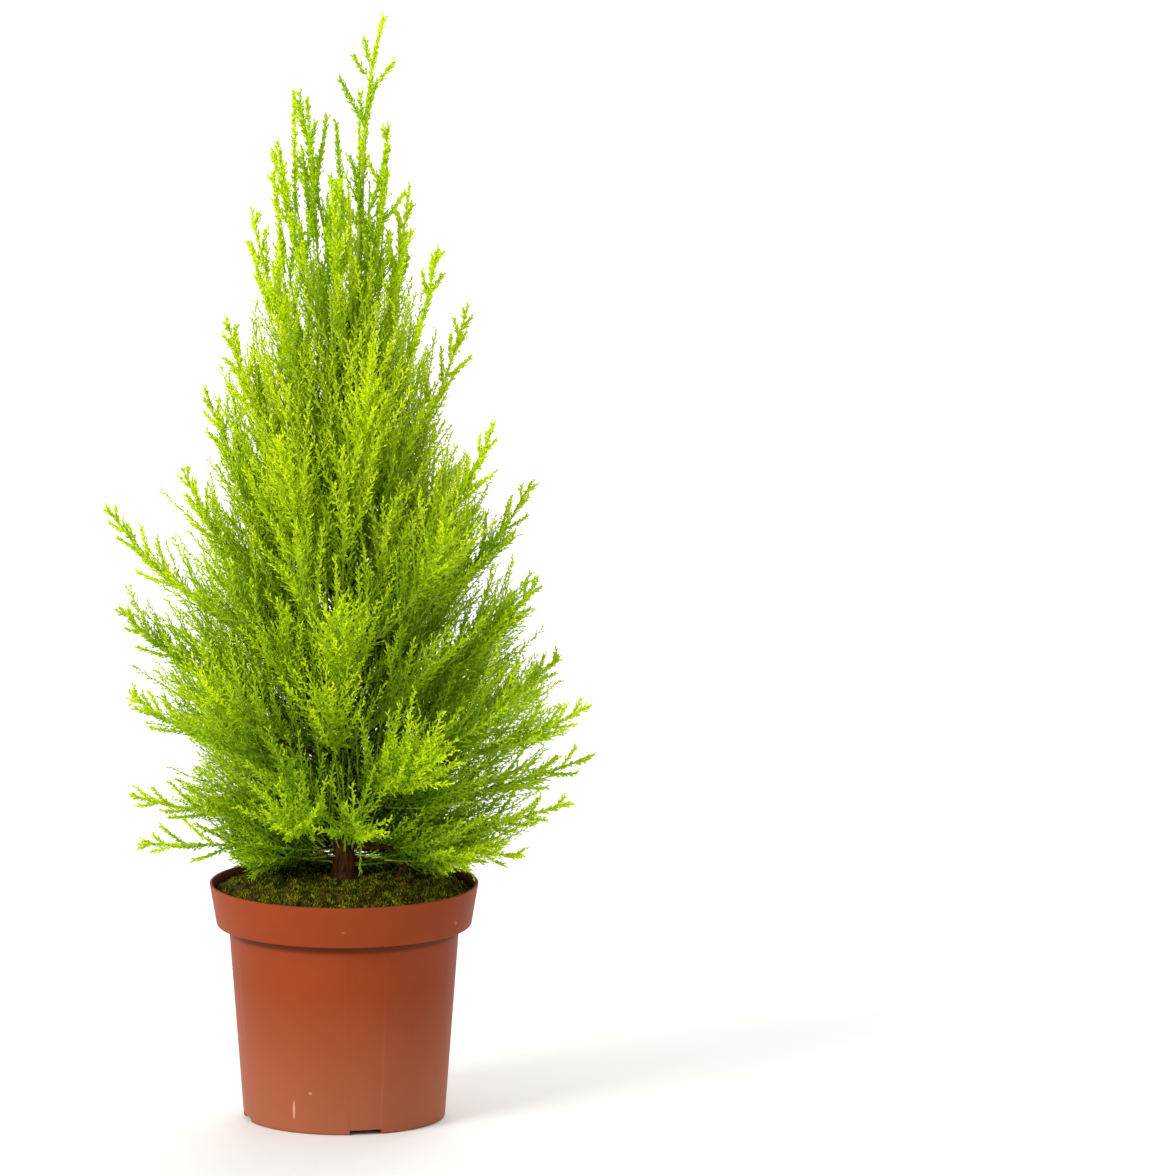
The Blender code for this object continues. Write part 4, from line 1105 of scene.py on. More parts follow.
class Plumes:
    """Every plume as arrays: its root, bend and tip, the number that seeds its jitter, and its length."""

    def __init__(self):
        azimuth, reach, tip_height = self.placed()
        out = outward(azimuth)
        inner = np.arange(len(reach)) >= len(reach) - INNER_COUNT - LOW_COUNT
        spacing = np.where(inner, INNER_ROOT_SPACING, ROOT_SPACING)
        root_height = plume_roots(azimuth, tip_height, spacing)
        rise = tip_height - root_height
        radius = STEM_RADIUS_SHARE * np.hypot(reach, rise) + STEM_LEAST_RADIUS
        radius[inner] *= INNER_RADIUS_SHARE
        root = trunk_centre(root_height) + out * (trunk_radius(root_height) + GAP)[:, None]
        level = reach - np.hypot(root[:, 0], root[:, 1])
        bend = root + out * (level * BEND_OUT)[:, None]
        bend[:, 2] += rise * BEND_UP
        tip = np.concatenate([out[:, :2] * reach[:, None], tip_height[:, None]], axis=1)
        leader_root = trunk_centre(TRUNK_TOP)
        side_root = SIDE_STEM[2]
        side_bend = side_root + SIDE_PLUME_BEND * (SIDE_STEM_TIP - side_root) - SIDE_PLUME_SAG * UP
        self.root = np.concatenate([leader_root[None], root, side_root[None]])
        self.bend = np.concatenate([LEADER_BEND[None], bend, side_bend[None]])
        self.tip = np.concatenate([LEADER_TIP[None], tip, SIDE_STEM_TIP[None]])
        side_radius = SIDE_STEM_RADII[1] * SIDE_PLUME_RADIUS_SHARE
        self.radius = np.concatenate([[TRUNK_TOP_RADIUS], radius, [side_radius]])
        self.number = np.arange(len(self.root))
        self.inner = np.concatenate([[False], inner, [False]])
        share = np.linspace(0.0, 1.0, LENGTH_SAMPLES)
        places = self.at(self.number[:, None], share[None])
        self.length = np.linalg.norm(np.diff(places, axis=1), axis=2).sum(axis=1)
        self.woody = np.interp(self.tip[:, 2], *WOODY_SHARE)
        self.fullness = np.interp(self.tip[:, 2], (FULL_BELOW, THIN_ABOVE), (1.0, THINNEST))

    def placed(self):
        """Direction, reach and tip height of each plume on the trunk.

        First come both outlines, then front and back, then the low ones and those that fill the inside. A tip
        of the outlines shows where it stands, less its distance to the front times the view's slope.
        """
        azimuth, reach, height = [], [], []
        for tips, facing in ((RIGHT_TIPS, 0.0), (LEFT_TIPS, 180.0)):
            k = np.arange(len(tips))
            side = np.where(k % 2, EDGE_SWING_DEG, -EDGE_SWING_DEG)
            swing = np.radians(side * jittered(EDGE_SWING_JITTER, noise(k, 3)))
            across = np.array([tip[1] for tip in tips]) / np.cos(swing)
            direction = math.radians(facing) + swing
            azimuth.append(direction)
            reach.append(across)
            height.append(np.array([tip[0] for tip in tips]) - VIEW_SLOPE * across * np.sin(direction))
        for facing, shift in ((-90.0, 0.5), (90.0, 0.0)):
            k = np.arange(DEPTH_COUNT)
            share = (1.0 - (k + shift) / DEPTH_COUNT) ** DEPTH_CROWDING
            tip_height = between((DEPTH_LOW, DEPTH_HIGH), share)
            swing = DEPTH_SPREAD_DEG * ((k * GOLDEN_SHARE + DEPTH_SHIFT * shift) % 1.0 - 0.5)
            direction = np.radians(facing + swing)
            azimuth.append(direction)
            reach.append(within_body(direction, crown_radius(tip_height), tip_height))
            height.append(tip_height)
        k = np.arange(LOW_COUNT)
        direction = between(LOW_SIDES, (k + 0.5) * GOLDEN_SHARE % 1.0)
        tip_height = between(LOW_TIPS, noise(k, 9))
        azimuth.append(direction)
        reach.append(within_body(direction, between(LOW_REACH, noise(k, 8)), tip_height))
        height.append(tip_height)
        k = np.arange(INNER_COUNT)
        direction = k * GOLDEN_ANGLE - INNER_TO_SIDES * np.sin(2.0 * k * GOLDEN_ANGLE)
        share = (1.0 - (k + 0.5) / INNER_COUNT) ** INNER_CROWDING
        tip_height = between((INNER_LOW, INNER_HIGH), share)
        out = crown_radius(tip_height) * between(INNER_REACH, noise(k, 7))
        azimuth.append(direction)
        reach.append(within_body(direction, out, tip_height))
        height.append(tip_height)
        return np.concatenate(azimuth), np.concatenate(reach), np.concatenate(height)

    def at(self, which, share):
        """Points of the stems' curves: parabolas from root to tip, drawn towards the bend."""
        return parabola(self.root[which], self.bend[which], self.tip[which], np.asarray(share)[..., None])

    def slope(self, which, share):
        """How fast a stem's curve moves on per share of its length."""
        share = np.asarray(share)[..., None]
        way = (1.0 - share) * (self.bend[which] - self.root[which])
        return 2.0 * (way + share * (self.tip[which] - self.bend[which]))


def body_limits(heights):
    """How far right and left the crown's body reaches at the heights where points show from the front."""
    return [np.interp(heights, *np.array(places).T) for places in (BODY_RIGHT, BODY_LEFT)]


def within_body(direction, reach, tip_height):
    """Each reach, cut where its tip, seen from the front, would stand past the body's edge less a margin."""
    x, y = reach * np.cos(direction), reach * np.sin(direction)
    right, left = body_limits(tip_height + VIEW_SLOPE * y)
    limit = np.where(x > 0.0, right, left) - TIP_MARGIN
    return reach * np.minimum(1.0, limit / np.maximum(np.abs(x), TINY))


def fan(points):
    """The way that shoots grow at a place: straight up over the trunk, leaning out lower and further out.

    The lean is the place's distance out over its height above a point in the trunk, plus a share of it.
    """
    above = np.maximum(points[:, 2:3] - FAN_HEIGHT, FAN_LEAST)
    lean = points[:, :2] * (1.0 / above + FAN_SPREAD)
    up = np.clip((points[:, 2:3] - FAN_FLOOR) / FAN_FLOOR_DEPTH, 0.0, 1.0)
    return unit(np.concatenate([lean, up], axis=1))


class Shoots:
    """Side shoots of all plumes as arrays. A shoot runs root + way t + rise t squared, with t from 0 to 1."""

    def __init__(self, plumes, count):
        which, k = [a.ravel() for a in np.meshgrid(plumes.number, np.arange(count), indexing="ij")]
        place = k + SHOOT_STAGGER * noise(which, k, 1)
        share = FIRST_SHOOT + (LAST_SHOOT - FIRST_SHOOT) * place / count
        root_level = plumes.at(which, share)[:, 2]
        sparse = np.interp(root_level, *SPIRE_SPARSE) * np.interp(share, *OUTER_SPARSE)
        sideways = np.abs(plumes.at(which, share)[:, 0])
        low_side = (sideways > LOW_SIDE_FROM) & (root_level < LOW_SIDE_BELOW)
        sparse = sparse * np.where(low_side, LOW_SIDE_SHARE, 1.0)
        present = noise(which, k, 4) < sparse * np.where(plumes.inner[which], INNER_FULLNESS, 1.0)
        which, k, share = which[present], k[present], share[present]
        root = plumes.at(which, share)
        along = unit(plumes.slope(which, share))
        turn = k * GOLDEN_ANGLE + which
        aside = branching(along, turn, np.full(len(k), 0.5 * math.pi))[0]
        narrow = np.interp(root[:, 2], *SPIRE_NARROWING)
        lean = SHOOT_ASIDE * narrow * jittered(SHOOT_ASIDE_JITTER, noise(which, k, 2))
        way = fan(root) + SHOOT_FOLLOWS * along + lean[:, None] * aside
        low = root[:, 2] < HANG_ABOVE
        way[low, 2] = np.maximum(way[low, 2], 0.0)
        way = unit(way)
        length = SHOOT_LENGTH * narrow * plumes.fullness[which]
        length = length * jittered(SHOOT_LENGTH_JITTER, noise(which, k, 3))
        length = np.minimum(length, PAST_TIP * (1.0 - share) * plumes.length[which] + SHOOT_LEAST)
        up = UP - way * way[:, 2:3]
        inset = between(BODY_INSET, noise(which, k, 5))
        length = self.fitted(root, way, up, length, inset)
        kept = length > SHOOT_LEAST
        self.share = share[kept]
        self.root = root[kept]
        self.way = (way * length[:, None])[kept]
        self.rise = (SHOOT_CURL * up * length[:, None])[kept]
        self.vigour = np.interp(self.root[:, 2], *VIGOUR_BY_HEIGHT)
        self.light = PLUME_CONTRAST * (noise(which[kept], 57) - 0.5)
        self.add_tips(plumes)
        self.add_side_cords(plumes)
        self.add_cords(TOP_CORDS, CORD_VIGOUR)
        self.add_cords(EDGE_SPRAYS, SPRAY_VIGOUR)
        self.add_named()
        self.add_trunk_shoots()
        self.add_basal_shoots()
        self.length = np.linalg.norm(self.way + self.rise, axis=1)
        self.number = np.arange(len(self.root))

    def add_tips(self, plumes):
        """The outer part of each plume's own stem is a shoot too: the same parabola from a share of it on."""
        which = plumes.number
        first = np.where(plumes.tip[:, 2] < LOW_TIPS_BELOW, LOW_TIP_SHARE, TIP_SHARE)
        first[0] = LEADER_TIP_SHARE
        curve = plumes.root - 2.0 * plumes.bend + plumes.tip
        way = (1.0 - first)[:, None] * plumes.slope(which, first)
        rise = (1.0 - first)[:, None] ** 2 * curve
        vigour = np.where(plumes.inner, INNER_TIP_VIGOUR * plumes.fullness, TIP_VIGOUR)
        vigour[0] = CORD_VIGOUR
        light = PLUME_CONTRAST * (noise(which, 57) - 0.5)
        share = np.full(len(which), OUTER_SHOOT_SHARE)
        self.add(plumes.at(which, first), way, rise, share, vigour, light)

    def add_side_cords(self, plumes):
        """Each outer plume ends in a few slender side cords that get shorter towards its tip."""
        outer = plumes.number[~plumes.inner & (plumes.number > 0)]
        plume, place = [a.ravel() for a in np.meshgrid(outer, np.arange(SIDE_CORDS), indexing="ij")]
        grown = noise(plume, place, 83) < np.interp(plumes.tip[plume, 2], *SIDE_CORDS_SPARSE)
        plume, place = plume[grown], place[grown]
        first = np.where(plumes.tip[plume, 2] < LOW_TIPS_BELOW, LOW_TIP_SHARE, SIDE_CORDS_FROM)
        step = place + SIDE_CORD_STAGGER * noise(plume, place, 81)
        share = first + (LAST_CORD - first) * step / SIDE_CORDS
        along = unit(plumes.slope(plume, share))
        turn = place * GOLDEN_ANGLE + 2.0 * plume
        angle = np.radians(jittered(SIDE_CORD_ANGLE_JITTER, noise(plume, place, 82)))
        way = branching(along, turn, angle)[0]
        reach = np.minimum(plumes.length[plume], SIDE_CORD_LONGEST_PLUME)
        length = SIDE_CORD_LEAST + SIDE_CORD_LENGTH * (1.0 - share) * reach
        rise = SIDE_CORD_RISE * UP * length[:, None]
        vigour = np.full(len(share), CORD_VIGOUR)
        self.add(plumes.at(plume, share), way * length[:, None], rise, share, vigour)

    def add_cords(self, ends, vigour):
        """Named cords and sprays stand out of the crown's edge, a little in front of or behind its middle."""
        ends = np.array(ends)
        k = np.arange(len(ends))
        depth = CORD_DEPTH * (noise(k, 91) - 0.5) * (ends[:, 0, 1] < CORD_DEPTH_BELOW)
        foot = np.stack([ends[:, 0, 0], depth, ends[:, 0, 1]], axis=1)
        lowered = CORD_TIP_DEPTH * VIEW_SLOPE * depth
        tip = np.stack([ends[:, 1, 0], CORD_TIP_DEPTH * depth, ends[:, 1, 1] - lowered], axis=1)
        sag = CORD_SAG * UP * np.linalg.norm(tip - foot, axis=1, keepdims=True)
        share = np.full(len(k), OUTER_SHOOT_SHARE)
        self.add(foot, tip - foot - sag, sag, share, np.full(len(k), vigour))

    def add_trunk_shoots(self):
        """Short upright shoots all up the trunk fill the crown's middle; they are the darkest."""
        k = np.arange(TRUNK_SHOOTS)
        height = between((LOWEST_ROOT, TRUNK_TOP), ((k + 0.5) / TRUNK_SHOOTS) ** TRUNK_SHOOTS_LOW)
        k, height = [values[noise(k, 76) < np.interp(height, *TRUNK_SPARSE)] for values in (k, height)]
        turn = k * GOLDEN_ANGLE
        out = outward(turn)
        length = TRUNK_SHOOT_LENGTH * jittered(TRUNK_SHOOT_LENGTH_JITTER, noise(k, 71))
        length = length * np.interp(height, *TRUNK_LENGTH_BY_HEIGHT)
        spread = jittered(TRUNK_SPREAD_JITTER, noise(k, 72))
        way = out * np.sin(spread)[:, None] + UP * np.cos(spread)[:, None]
        root = trunk_centre(height) + out * trunk_radius(height)[:, None]
        rise = TRUNK_SHOOT_RISE * UP * length[:, None]
        self.add(root, way * length[:, None], rise, np.zeros(len(k)), np.ones(len(k)))

    def add_basal_shoots(self):
        """Shoots that leave the trunk just above the soil, at its sides and back, and lie nearly level."""
        k = np.arange(BASAL_SHOOTS)
        turn = BASAL_SIDES[0] + (BASAL_SIDES[1] - BASAL_SIDES[0]) * (k + noise(k, 75)) / BASAL_SHOOTS
        height = between(BASAL_HEIGHTS, noise(k, 73))
        out = outward(turn)
        root = trunk_centre(height) + out * trunk_radius(height)[:, None]
        way = out * (BASAL_LENGTH * jittered(BASAL_LENGTH_JITTER, noise(k, 74)))[:, None]
        rise = UP * (BASAL_RISE * (BASAL_HEIGHTS[1] - height) - BASAL_SINK)[:, None]
        self.add(root, way, rise, np.zeros(len(k)), np.full(len(k), BASAL_SHARE), BASAL_LIGHT)

    def add_named(self):
        """The low shoots that show singly: those that hang in front of the trunk, and the brightest one."""
        ends = np.array([[foot, tip] for foot, tip, vigour, light in LOW_SHOOTS])
        vigour, light = np.array([[vigour, light] for foot, tip, vigour, light in LOW_SHOOTS]).T
        foot, tip = ends[:, 0], ends[:, 1]
        sag = LOW_SHOOT_SAG * UP * np.linalg.norm(tip - foot, axis=1, keepdims=True)
        share = np.full(len(ends), LOW_SHOOT_SHARE)
        self.add(foot, tip - foot - sag, sag, share, vigour, light)

    def add(self, root, way, rise, share, vigour, light=0.0):
        """Puts more shoots after those there are."""
        self.root = np.concatenate([self.root, root])
        self.way = np.concatenate([self.way, way])
        self.rise = np.concatenate([self.rise, rise])
        self.share = np.concatenate([self.share, share])
        self.vigour = np.concatenate([self.vigour, vigour])
        self.light = np.concatenate([self.light, np.zeros(len(root)) + light])

    def fitted(self, root, way, up, length, inset):
        """Cuts each shoot where it would leave the crown's body, drawn in by the given inset."""
        t = np.linspace(0.0, 1.0, TRIED_LENGTHS + 1)[1:]
        moved = way[:, None] * t[:, None] + SHOOT_CURL * up[:, None] * t[:, None] ** 2
        places = root[:, None] + moved * length[:, None, None]
        x, y, z = places[..., 0], places[..., 1], places[..., 2]
        inset = inset[:, None]
        seen = z + VIEW_SLOPE * y
        right, left = body_limits(seen)
        deep = crown_radius(z)
        fits = (x < right - inset) & (x > inset - left) & (np.abs(y) < deep - inset)
        out = np.hypot(x, y)
        lowest = np.interp(out, *LOWEST_FOLIAGE)
        fits &= (z > lowest) & (seen < BODY_TOP - inset) & (seen > np.interp(x, *LOWEST_SEEN))
        reached = np.cumprod(fits, axis=1).sum(axis=1)
        return length * reached / TRIED_LENGTHS

    def outness(self):
        """How far out each shoot ends: 0 at the crown's axis, 1 at its mean reach, and 1 more in the top."""
        tip = self.root + self.way + self.rise
        return np.hypot(tip[:, 0], tip[:, 1]) / crown_radius(tip[:, 2]) + (tip[:, 2] > HIDDEN_BELOW)

    def at(self, which, t):
        """Points of the shoots' curves: root + way t + rise t squared."""
        t = np.asarray(t)[..., None]
        return self.root[which] + self.way[which] * t + self.rise[which] * t**2

    def slope(self, which, t):
        """Unit directions along the shoots' curves: way + 2 rise t, at a length of one."""
        t = np.asarray(t)[..., None]
        return unit(self.way[which] + 2.0 * self.rise[which] * t)


def repeated(counts):
    """For counts per item, the item of each repeat and its place among that item's repeats."""
    item = np.repeat(np.arange(len(counts)), counts)
    place = np.arange(len(item)) - np.repeat(np.cumsum(counts) - counts, counts)
    return item, place


def branching(along, turn, angle):
    """Directions at an angle to given ones, turned round them: a spiral seen along the stem."""
    level = unit(np.cross(along, (0.0, 0.0, 1.0)) + np.array([TINY, 0.0, 0.0]))
    over = np.cross(level, along)
    aside = np.cos(turn)[:, None] * level + np.sin(turn)[:, None] * over
    return unit(np.cos(angle)[:, None] * along + np.sin(angle)[:, None] * aside), aside


def swept(centres, radii, sides):
    """Tubes round many centre lines at once, as (points, faces).

    Each station's ring lies across the line: the radius times the cosine and sine of even angles along two
    directions square to it. A cap closes both ends.
    """
    curves, stations = radii.shape
    along = unit(np.gradient(centres, axis=1))
    plane = np.cross(centres[:, stations // 2] - centres[:, 0], centres[:, -1] - centres[:, 0])
    plane = unit(plane + TINY * np.array([0.3, 1.0, 0.2]))[:, None]
    first = unit(np.cross(plane, along))
    second = np.cross(along, first)
    angle = TURN * np.arange(sides) / sides
    ring = np.cos(angle)[:, None] * first[:, :, None] + np.sin(angle)[:, None] * second[:, :, None]
    points = centres[:, :, None] + radii[..., None, None] * ring
    size = stations * sides
    tube = grid_faces(stations, sides)[None] + size * np.arange(curves)[:, None, None]
    start = size * np.arange(curves)[:, None]
    low_cap = start + np.arange(sides)[::-1][None]
    high_cap = start + (stations - 1) * sides + np.arange(sides)[None]
    return points.reshape(-1, 3), [tube.reshape(-1, 4), low_cap, high_cap]


def bark_relief(angle, along, width):
    """Share by which bark stands out or in: upright strips, from ridged waves that wander up the limb.

    Each layer adds its depth times 1 - 2 |sin(phase / 2)|.
    """
    relief = 0.0
    for k, (count, wander, depth) in enumerate(BARK_WAVES):
        phase = count * angle + BARK_WANDER * np.sin(along * wander + k) + TURN * noise(k, 41)
        relief = relief + depth * (1.0 - 2.0 * np.abs(np.sin(phase / 2.0)))
    return relief * width


def relief_limb(centres, radii, sides, depth):
    """One limb with bark relief: a tube whose radius is changed by the bark's pattern at each point."""
    points, faces = swept(centres[None], radii[None], sides)
    rings = points.reshape(len(radii), sides, 3)
    angle = TURN * np.arange(sides) / sides
    along = np.concatenate([[0.0], np.linalg.norm(np.diff(centres, axis=0), axis=1).cumsum()])
    relief = bark_relief(angle[None], along[:, None], depth)
    out = rings - centres[:, None]
    return (centres[:, None] + out * (1.0 + relief[..., None])).reshape(-1, 3), faces


def joined(parts):
    """Joins (points, list of face arrays) pairs into one pair."""
    points, faces, start = [], {}, 0
    for part_points, part_faces in parts:
        points.append(part_points)
        for array in part_faces:
            faces.setdefault(array.shape[1], []).append(array + start)
        start += len(part_points)
    return np.concatenate(points), [np.concatenate(arrays) for arrays in faces.values()]


class CYPRESS_OT_bark(bpy.types.Operator):
    """Makes the trunk, the side stem and the plumes' woody lower stems, all with bark relief.

    Each is a tube along its centre line, with its radius changed a little by upright strips of bark, and
    the trunk swells at each plume's root.
    """

    bl_idname = "cypress.bark"
    bl_label = "Trunk and boughs"

    def execute(self, context):
        plumes = Plumes()
        bark = bark_material()
        share = np.linspace(0.0, 1.0, TRUNK_STATIONS)
        heights = TRUNK_FOOT - TRUNK_SINK + (TRUNK_TOP + TRUNK_SINK - TRUNK_FOOT) * share
        from_root = (heights[:, None] - plumes.root[None, 1:-1, 2]) / ROOT_SWELLING_HEIGHT
        swelling = np.exp(-(from_root**2)).max(axis=1)
        radii = trunk_radius(heights) * (1.0 + ROOT_SWELLING * swelling)
        woody = heights < UPPER_STEM
        trunk = relief_limb(trunk_centre(heights[woody]), radii[woody], TRUNK_SIDES, TRUNK_BARK)
        upper = swept(trunk_centre(heights[~woody])[None], radii[None, ~woody], UPPER_SIDES)
        green = leaf_material("upper_stem_green", "#94AA26")
        mesh_piece("upper_stem", *upper, green, "bark", smooth=True)
        t = np.linspace(0.0, 1.0, SIDE_STEM_STATIONS)[:, None]
        side_line = parabola(*SIDE_STEM, t)
        side_line[0, 2] -= TRUNK_SINK
        side_radii = np.interp(t[:, 0], (0.0, 1.0), SIDE_STEM_RADII)
        side = relief_limb(side_line, side_radii, SIDE_STEM_SIDES, SIDE_STEM_BARK)
        points, faces = joined([trunk, side])
        piece = mesh_piece("trunk_bark", points, faces, bark, "bark", smooth=True)
        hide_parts("trunk", "side_stem")
        parts = []
        for k in plumes.number[1:]:
            share = np.linspace(-WOODY_SINK, plumes.woody[k], WOODY_STATIONS)
            radii = between((plumes.radius[k], STEM_TIP_RADIUS), np.clip(share, 0.0, 1.0))
            limb = relief_limb(plumes.at(k, share), radii * WOODY_THICKNESS, WOODY_SIDES, BOUGH_BARK)
            parts.append(limb)
        points, faces = joined(parts)
        boughs = mesh_piece("bough_bark", points, faces, bark, "bark", smooth=True)
        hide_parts(*[name for name in LIMB_NODES if name.startswith("bough")])
        return {"FINISHED"}


class CYPRESS_OT_crown(bpy.types.Operator):
    """Grows the crown: green stems and shoots as tubes, then twiglets and needles as small closed spikes.

    Twiglets stand round each shoot in a spiral, longest below its middle. Needles stand round each twiglet
    the same way, and one ends it. Each twiglet's needles share one tint, lighter near the shoot's tip, and
    lighter far out and high up as painted light.
    """

    bl_idname = "cypress.crown"
    bl_label = "Crown"

    def execute(self, context):
        settings = context.scene.cypress_crown
        plumes = Plumes()
        shoots = Shoots(plumes, settings.shoots)
        self.make_stems(plumes, shoots)
        self.make_twiglets(shoots, settings)
        return {"FINISHED"}

    def make_stems(self, plumes, shoots):
        """Sweeps each plume's stem from its woody part to its tip, and each shoot, in even tapers."""
        share = np.linspace(0.0, 1.0, STEM_STATIONS)
        woody = plumes.woody[:, None]
        share = woody - STEM_OVERLAP + (1.0 + STEM_OVERLAP - woody) * share[None]
        centres = plumes.at(plumes.number[:, None], share)
        radii = between((plumes.radius[:, None], STEM_TIP_RADIUS * STEM_TIP_SHARE), share)
        stems = swept(centres, radii, STEM_SIDES)
        t = np.linspace(0.0, 1.0, SHOOT_STATIONS)
        centres = shoots.at(shoots.number[:, None], t[None])
        root_radius = SHOOT_BASE_RADIUS + SHOOT_RADIUS_SHARE * shoots.length
        radii = root_radius[:, None] * (1.0 - SHOOT_TAPER * t[None])
        points, faces = joined([stems, swept(centres, radii, SHOOT_SIDES)])
        green = leaf_material("young_stem", "#9DB42E")
        piece = mesh_piece("green_stems", points, faces, green, "foliage")
        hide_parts(*FOLIAGE_NODES)

    def make_twiglets(self, shoots, settings):
        """Sets twiglets along each shoot, closer and shorter on slender cords, and needles on them.

        A twiglet's length is a share of its shoot's, up to a limit, times the shoot's vigour, and falls off
        along the shoot with a power of what is left of it.
        """
        slender = np.interp(shoots.vigour, CORD_RANGE, (1.0, 0.0))
        spacing = settings.twiglet_spacing * (1.0 - CORD_CLOSENESS * slender)
        spacing = spacing * np.interp(shoots.outness(), *HIDDEN_SPACING)
        counts = np.maximum(FEWEST_TWIGLETS, (shoots.length / spacing).astype(int))
        shoot, place = repeated(counts)
        t = FIRST_TWIGLET + TWIGLET_RANGE * (place + 0.5) / counts[shoot]
        chance = noise(shoot, place, 51)
        root = shoots.at(shoot, t)
        along = shoots.slope(shoot, t)
        turn = place * GOLDEN_ANGLE + shoot
        stout = slender * np.interp(shoots.root[:, 2], *STOUT_ABOVE)
        factors = [1.0 + a * (slender - stout) + b * stout for a, b in zip(SLIM_CORDS, STOUT_CORDS)]
        wider, longer, closer = [factor[shoot] for factor in factors]
        angle = TWIGLET_ANGLE_DEG - TWIGLET_ANGLE_LOSS_DEG * t + TWIGLET_ANGLE_CHANCE_DEG * (chance - 0.5)
        way, aside = branching(along, turn, np.radians(angle) * closer)
        longest = TWIGLET_BASE_LENGTH + TWIGLET_LENGTH_SHARE * shoots.length[shoot]
        longest = np.minimum(settings.twiglet_length, longest)
        uneven = np.where(place % LONG_TWIGLET_EVERY == 0, LONG_TWIGLET, OTHER_TWIGLET)
        longest = longest * shoots.vigour[shoot] * uneven
        full = np.clip(1.0 - t / TWIGLET_FULL_TO, 0.0, 1.0) ** TWIGLET_FULL_POWER
        length = longest * jittered(TWIGLET_FULL_JITTER, full)
        length = length * jittered(TWIGLET_LENGTH_JITTER, noise(shoot, place, 52))
        length = np.maximum(length, SHORTEST_TWIGLET * longer)
        tone = self.tones(shoots, shoot, t, root, noise(shoot, place, 53))
        leaves = [leaf_material(f"leaf_tint_{k + 1}", colour) for k, colour in enumerate(TINTS)]
        width = settings.twiglet_width * wider
        self.make_spikes("twiglets", root, way, length, width, aside, tone, leaves)
        cord = np.stack([wider, longer, closer], axis=1)
        self.make_needles(root, way, length, cord, tone, leaves, settings)

    def make_spikes(self, name, base, aim, length, width, aside, tint, leaves):
        """Makes closed spikes in pieces of one tint each, none of them over the most spikes a piece holds."""
        for k, leaf in enumerate(leaves):
            mine = np.flatnonzero(tint == k)
            parts = math.ceil(len(mine) / MAX_NEEDLES_A_PIECE)
            for part, chosen in enumerate(np.array_split(mine, parts) if parts else ()):
                points, faces = spikes(*[values[chosen] for values in (base, aim, length, width, aside)])
                piece = mesh_piece(f"{name}_{k + 1}_{part + 1}", points, [faces], leaf, "foliage")
                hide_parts(*FOLIAGE_NODES)

    def tones(self, shoots, shoot, t, root, chance):
        """A tint number for each twiglet, from a tone counted in steps and cut to whole numbers.

        The tone is a sum of how far out in the crown and on its shoot the twiglet stands, how high, and
        chance, less painted shade in the spire and in the low hollow, plus painted light on the low tips at
        the sides. How far out and how high stand for painted light too.
        """
        outness = np.hypot(root[:, 0], root[:, 1]) / crown_radius(root[:, 2])
        height = np.clip((root[:, 2] - TONE_HEIGHT_FROM) / TONE_HEIGHT_RANGE, 0.0, 1.0)
        per_shoot = noise(shoot, 54) - 0.5
        evenness = np.interp(root[:, 2], *EVEN_ABOVE)
        # Painted light: lighter far out and high up in the crown
        tone = TONE_OUT * np.minimum(outness, 1.0) + TONE_ALONG * t + TONE_HEIGHT * height
        tone += evenness * (TONE_A_SHOOT * per_shoot + TONE_A_TWIGLET * (chance - 0.5))
        tone -= np.interp(root[:, 2], *SPIRE_SHADE)
        low = np.interp(root[:, 2], *HOLLOW_SHADE)
        tone -= HOLLOW_DEPTH * np.clip(HOLLOW_REACH - outness, 0.0, 1.0) * low
        sideways = np.abs(root[:, 0]) / np.maximum(np.hypot(root[:, 0], root[:, 1]), TINY)
        lit = np.clip(outness - LOW_TIP_LIGHT_FROM, 0.0, LOW_TIP_LIGHT_RANGE)
        tone += LOW_TIP_LIGHT * sideways * lit * low
        step = np.floor(1.0 + (tone + shoots.light[shoot]) * TINTS_PER_TONE)
        return np.clip(step, 0, len(TINTS) - 1).astype(int)

    def make_needles(self, root, way, length, cord, tone, leaves, settings):
        """Needles close round each twiglet, and one at its tip."""
        counts = np.clip((length / NEEDLE_SPACING).astype(int), *NEEDLES_A_TWIGLET)
        twiglet, place = repeated(counts)
        last = place == counts[twiglet] - 1
        first, reach = NEEDLE_PLACE_JITTER
        s = np.where(last, END_NEEDLE_PLACE, first + reach * place / counts[twiglet])
        chance = noise(twiglet, place, 61)
        turn = place * GOLDEN_ANGLE + twiglet * NEEDLE_TURN
        wider, longer, closer = cord[twiglet].T
        angle = np.radians(jittered(NEEDLE_ANGLE_JITTER, chance)) * closer
        aim, aside = branching(way[twiglet], turn, np.where(last, END_NEEDLE_ANGLE, angle))
        base = root[twiglet] + way[twiglet] * (length[twiglet] * s)[:, None]
        needle = settings.needle_length * jittered(NEEDLE_LENGTH_JITTER, chance) * np.minimum(longer, 1.0)
        width = settings.needle_width * wider
        self.make_spikes("needles", base, aim, needle, width, aside, tone[twiglet], leaves)


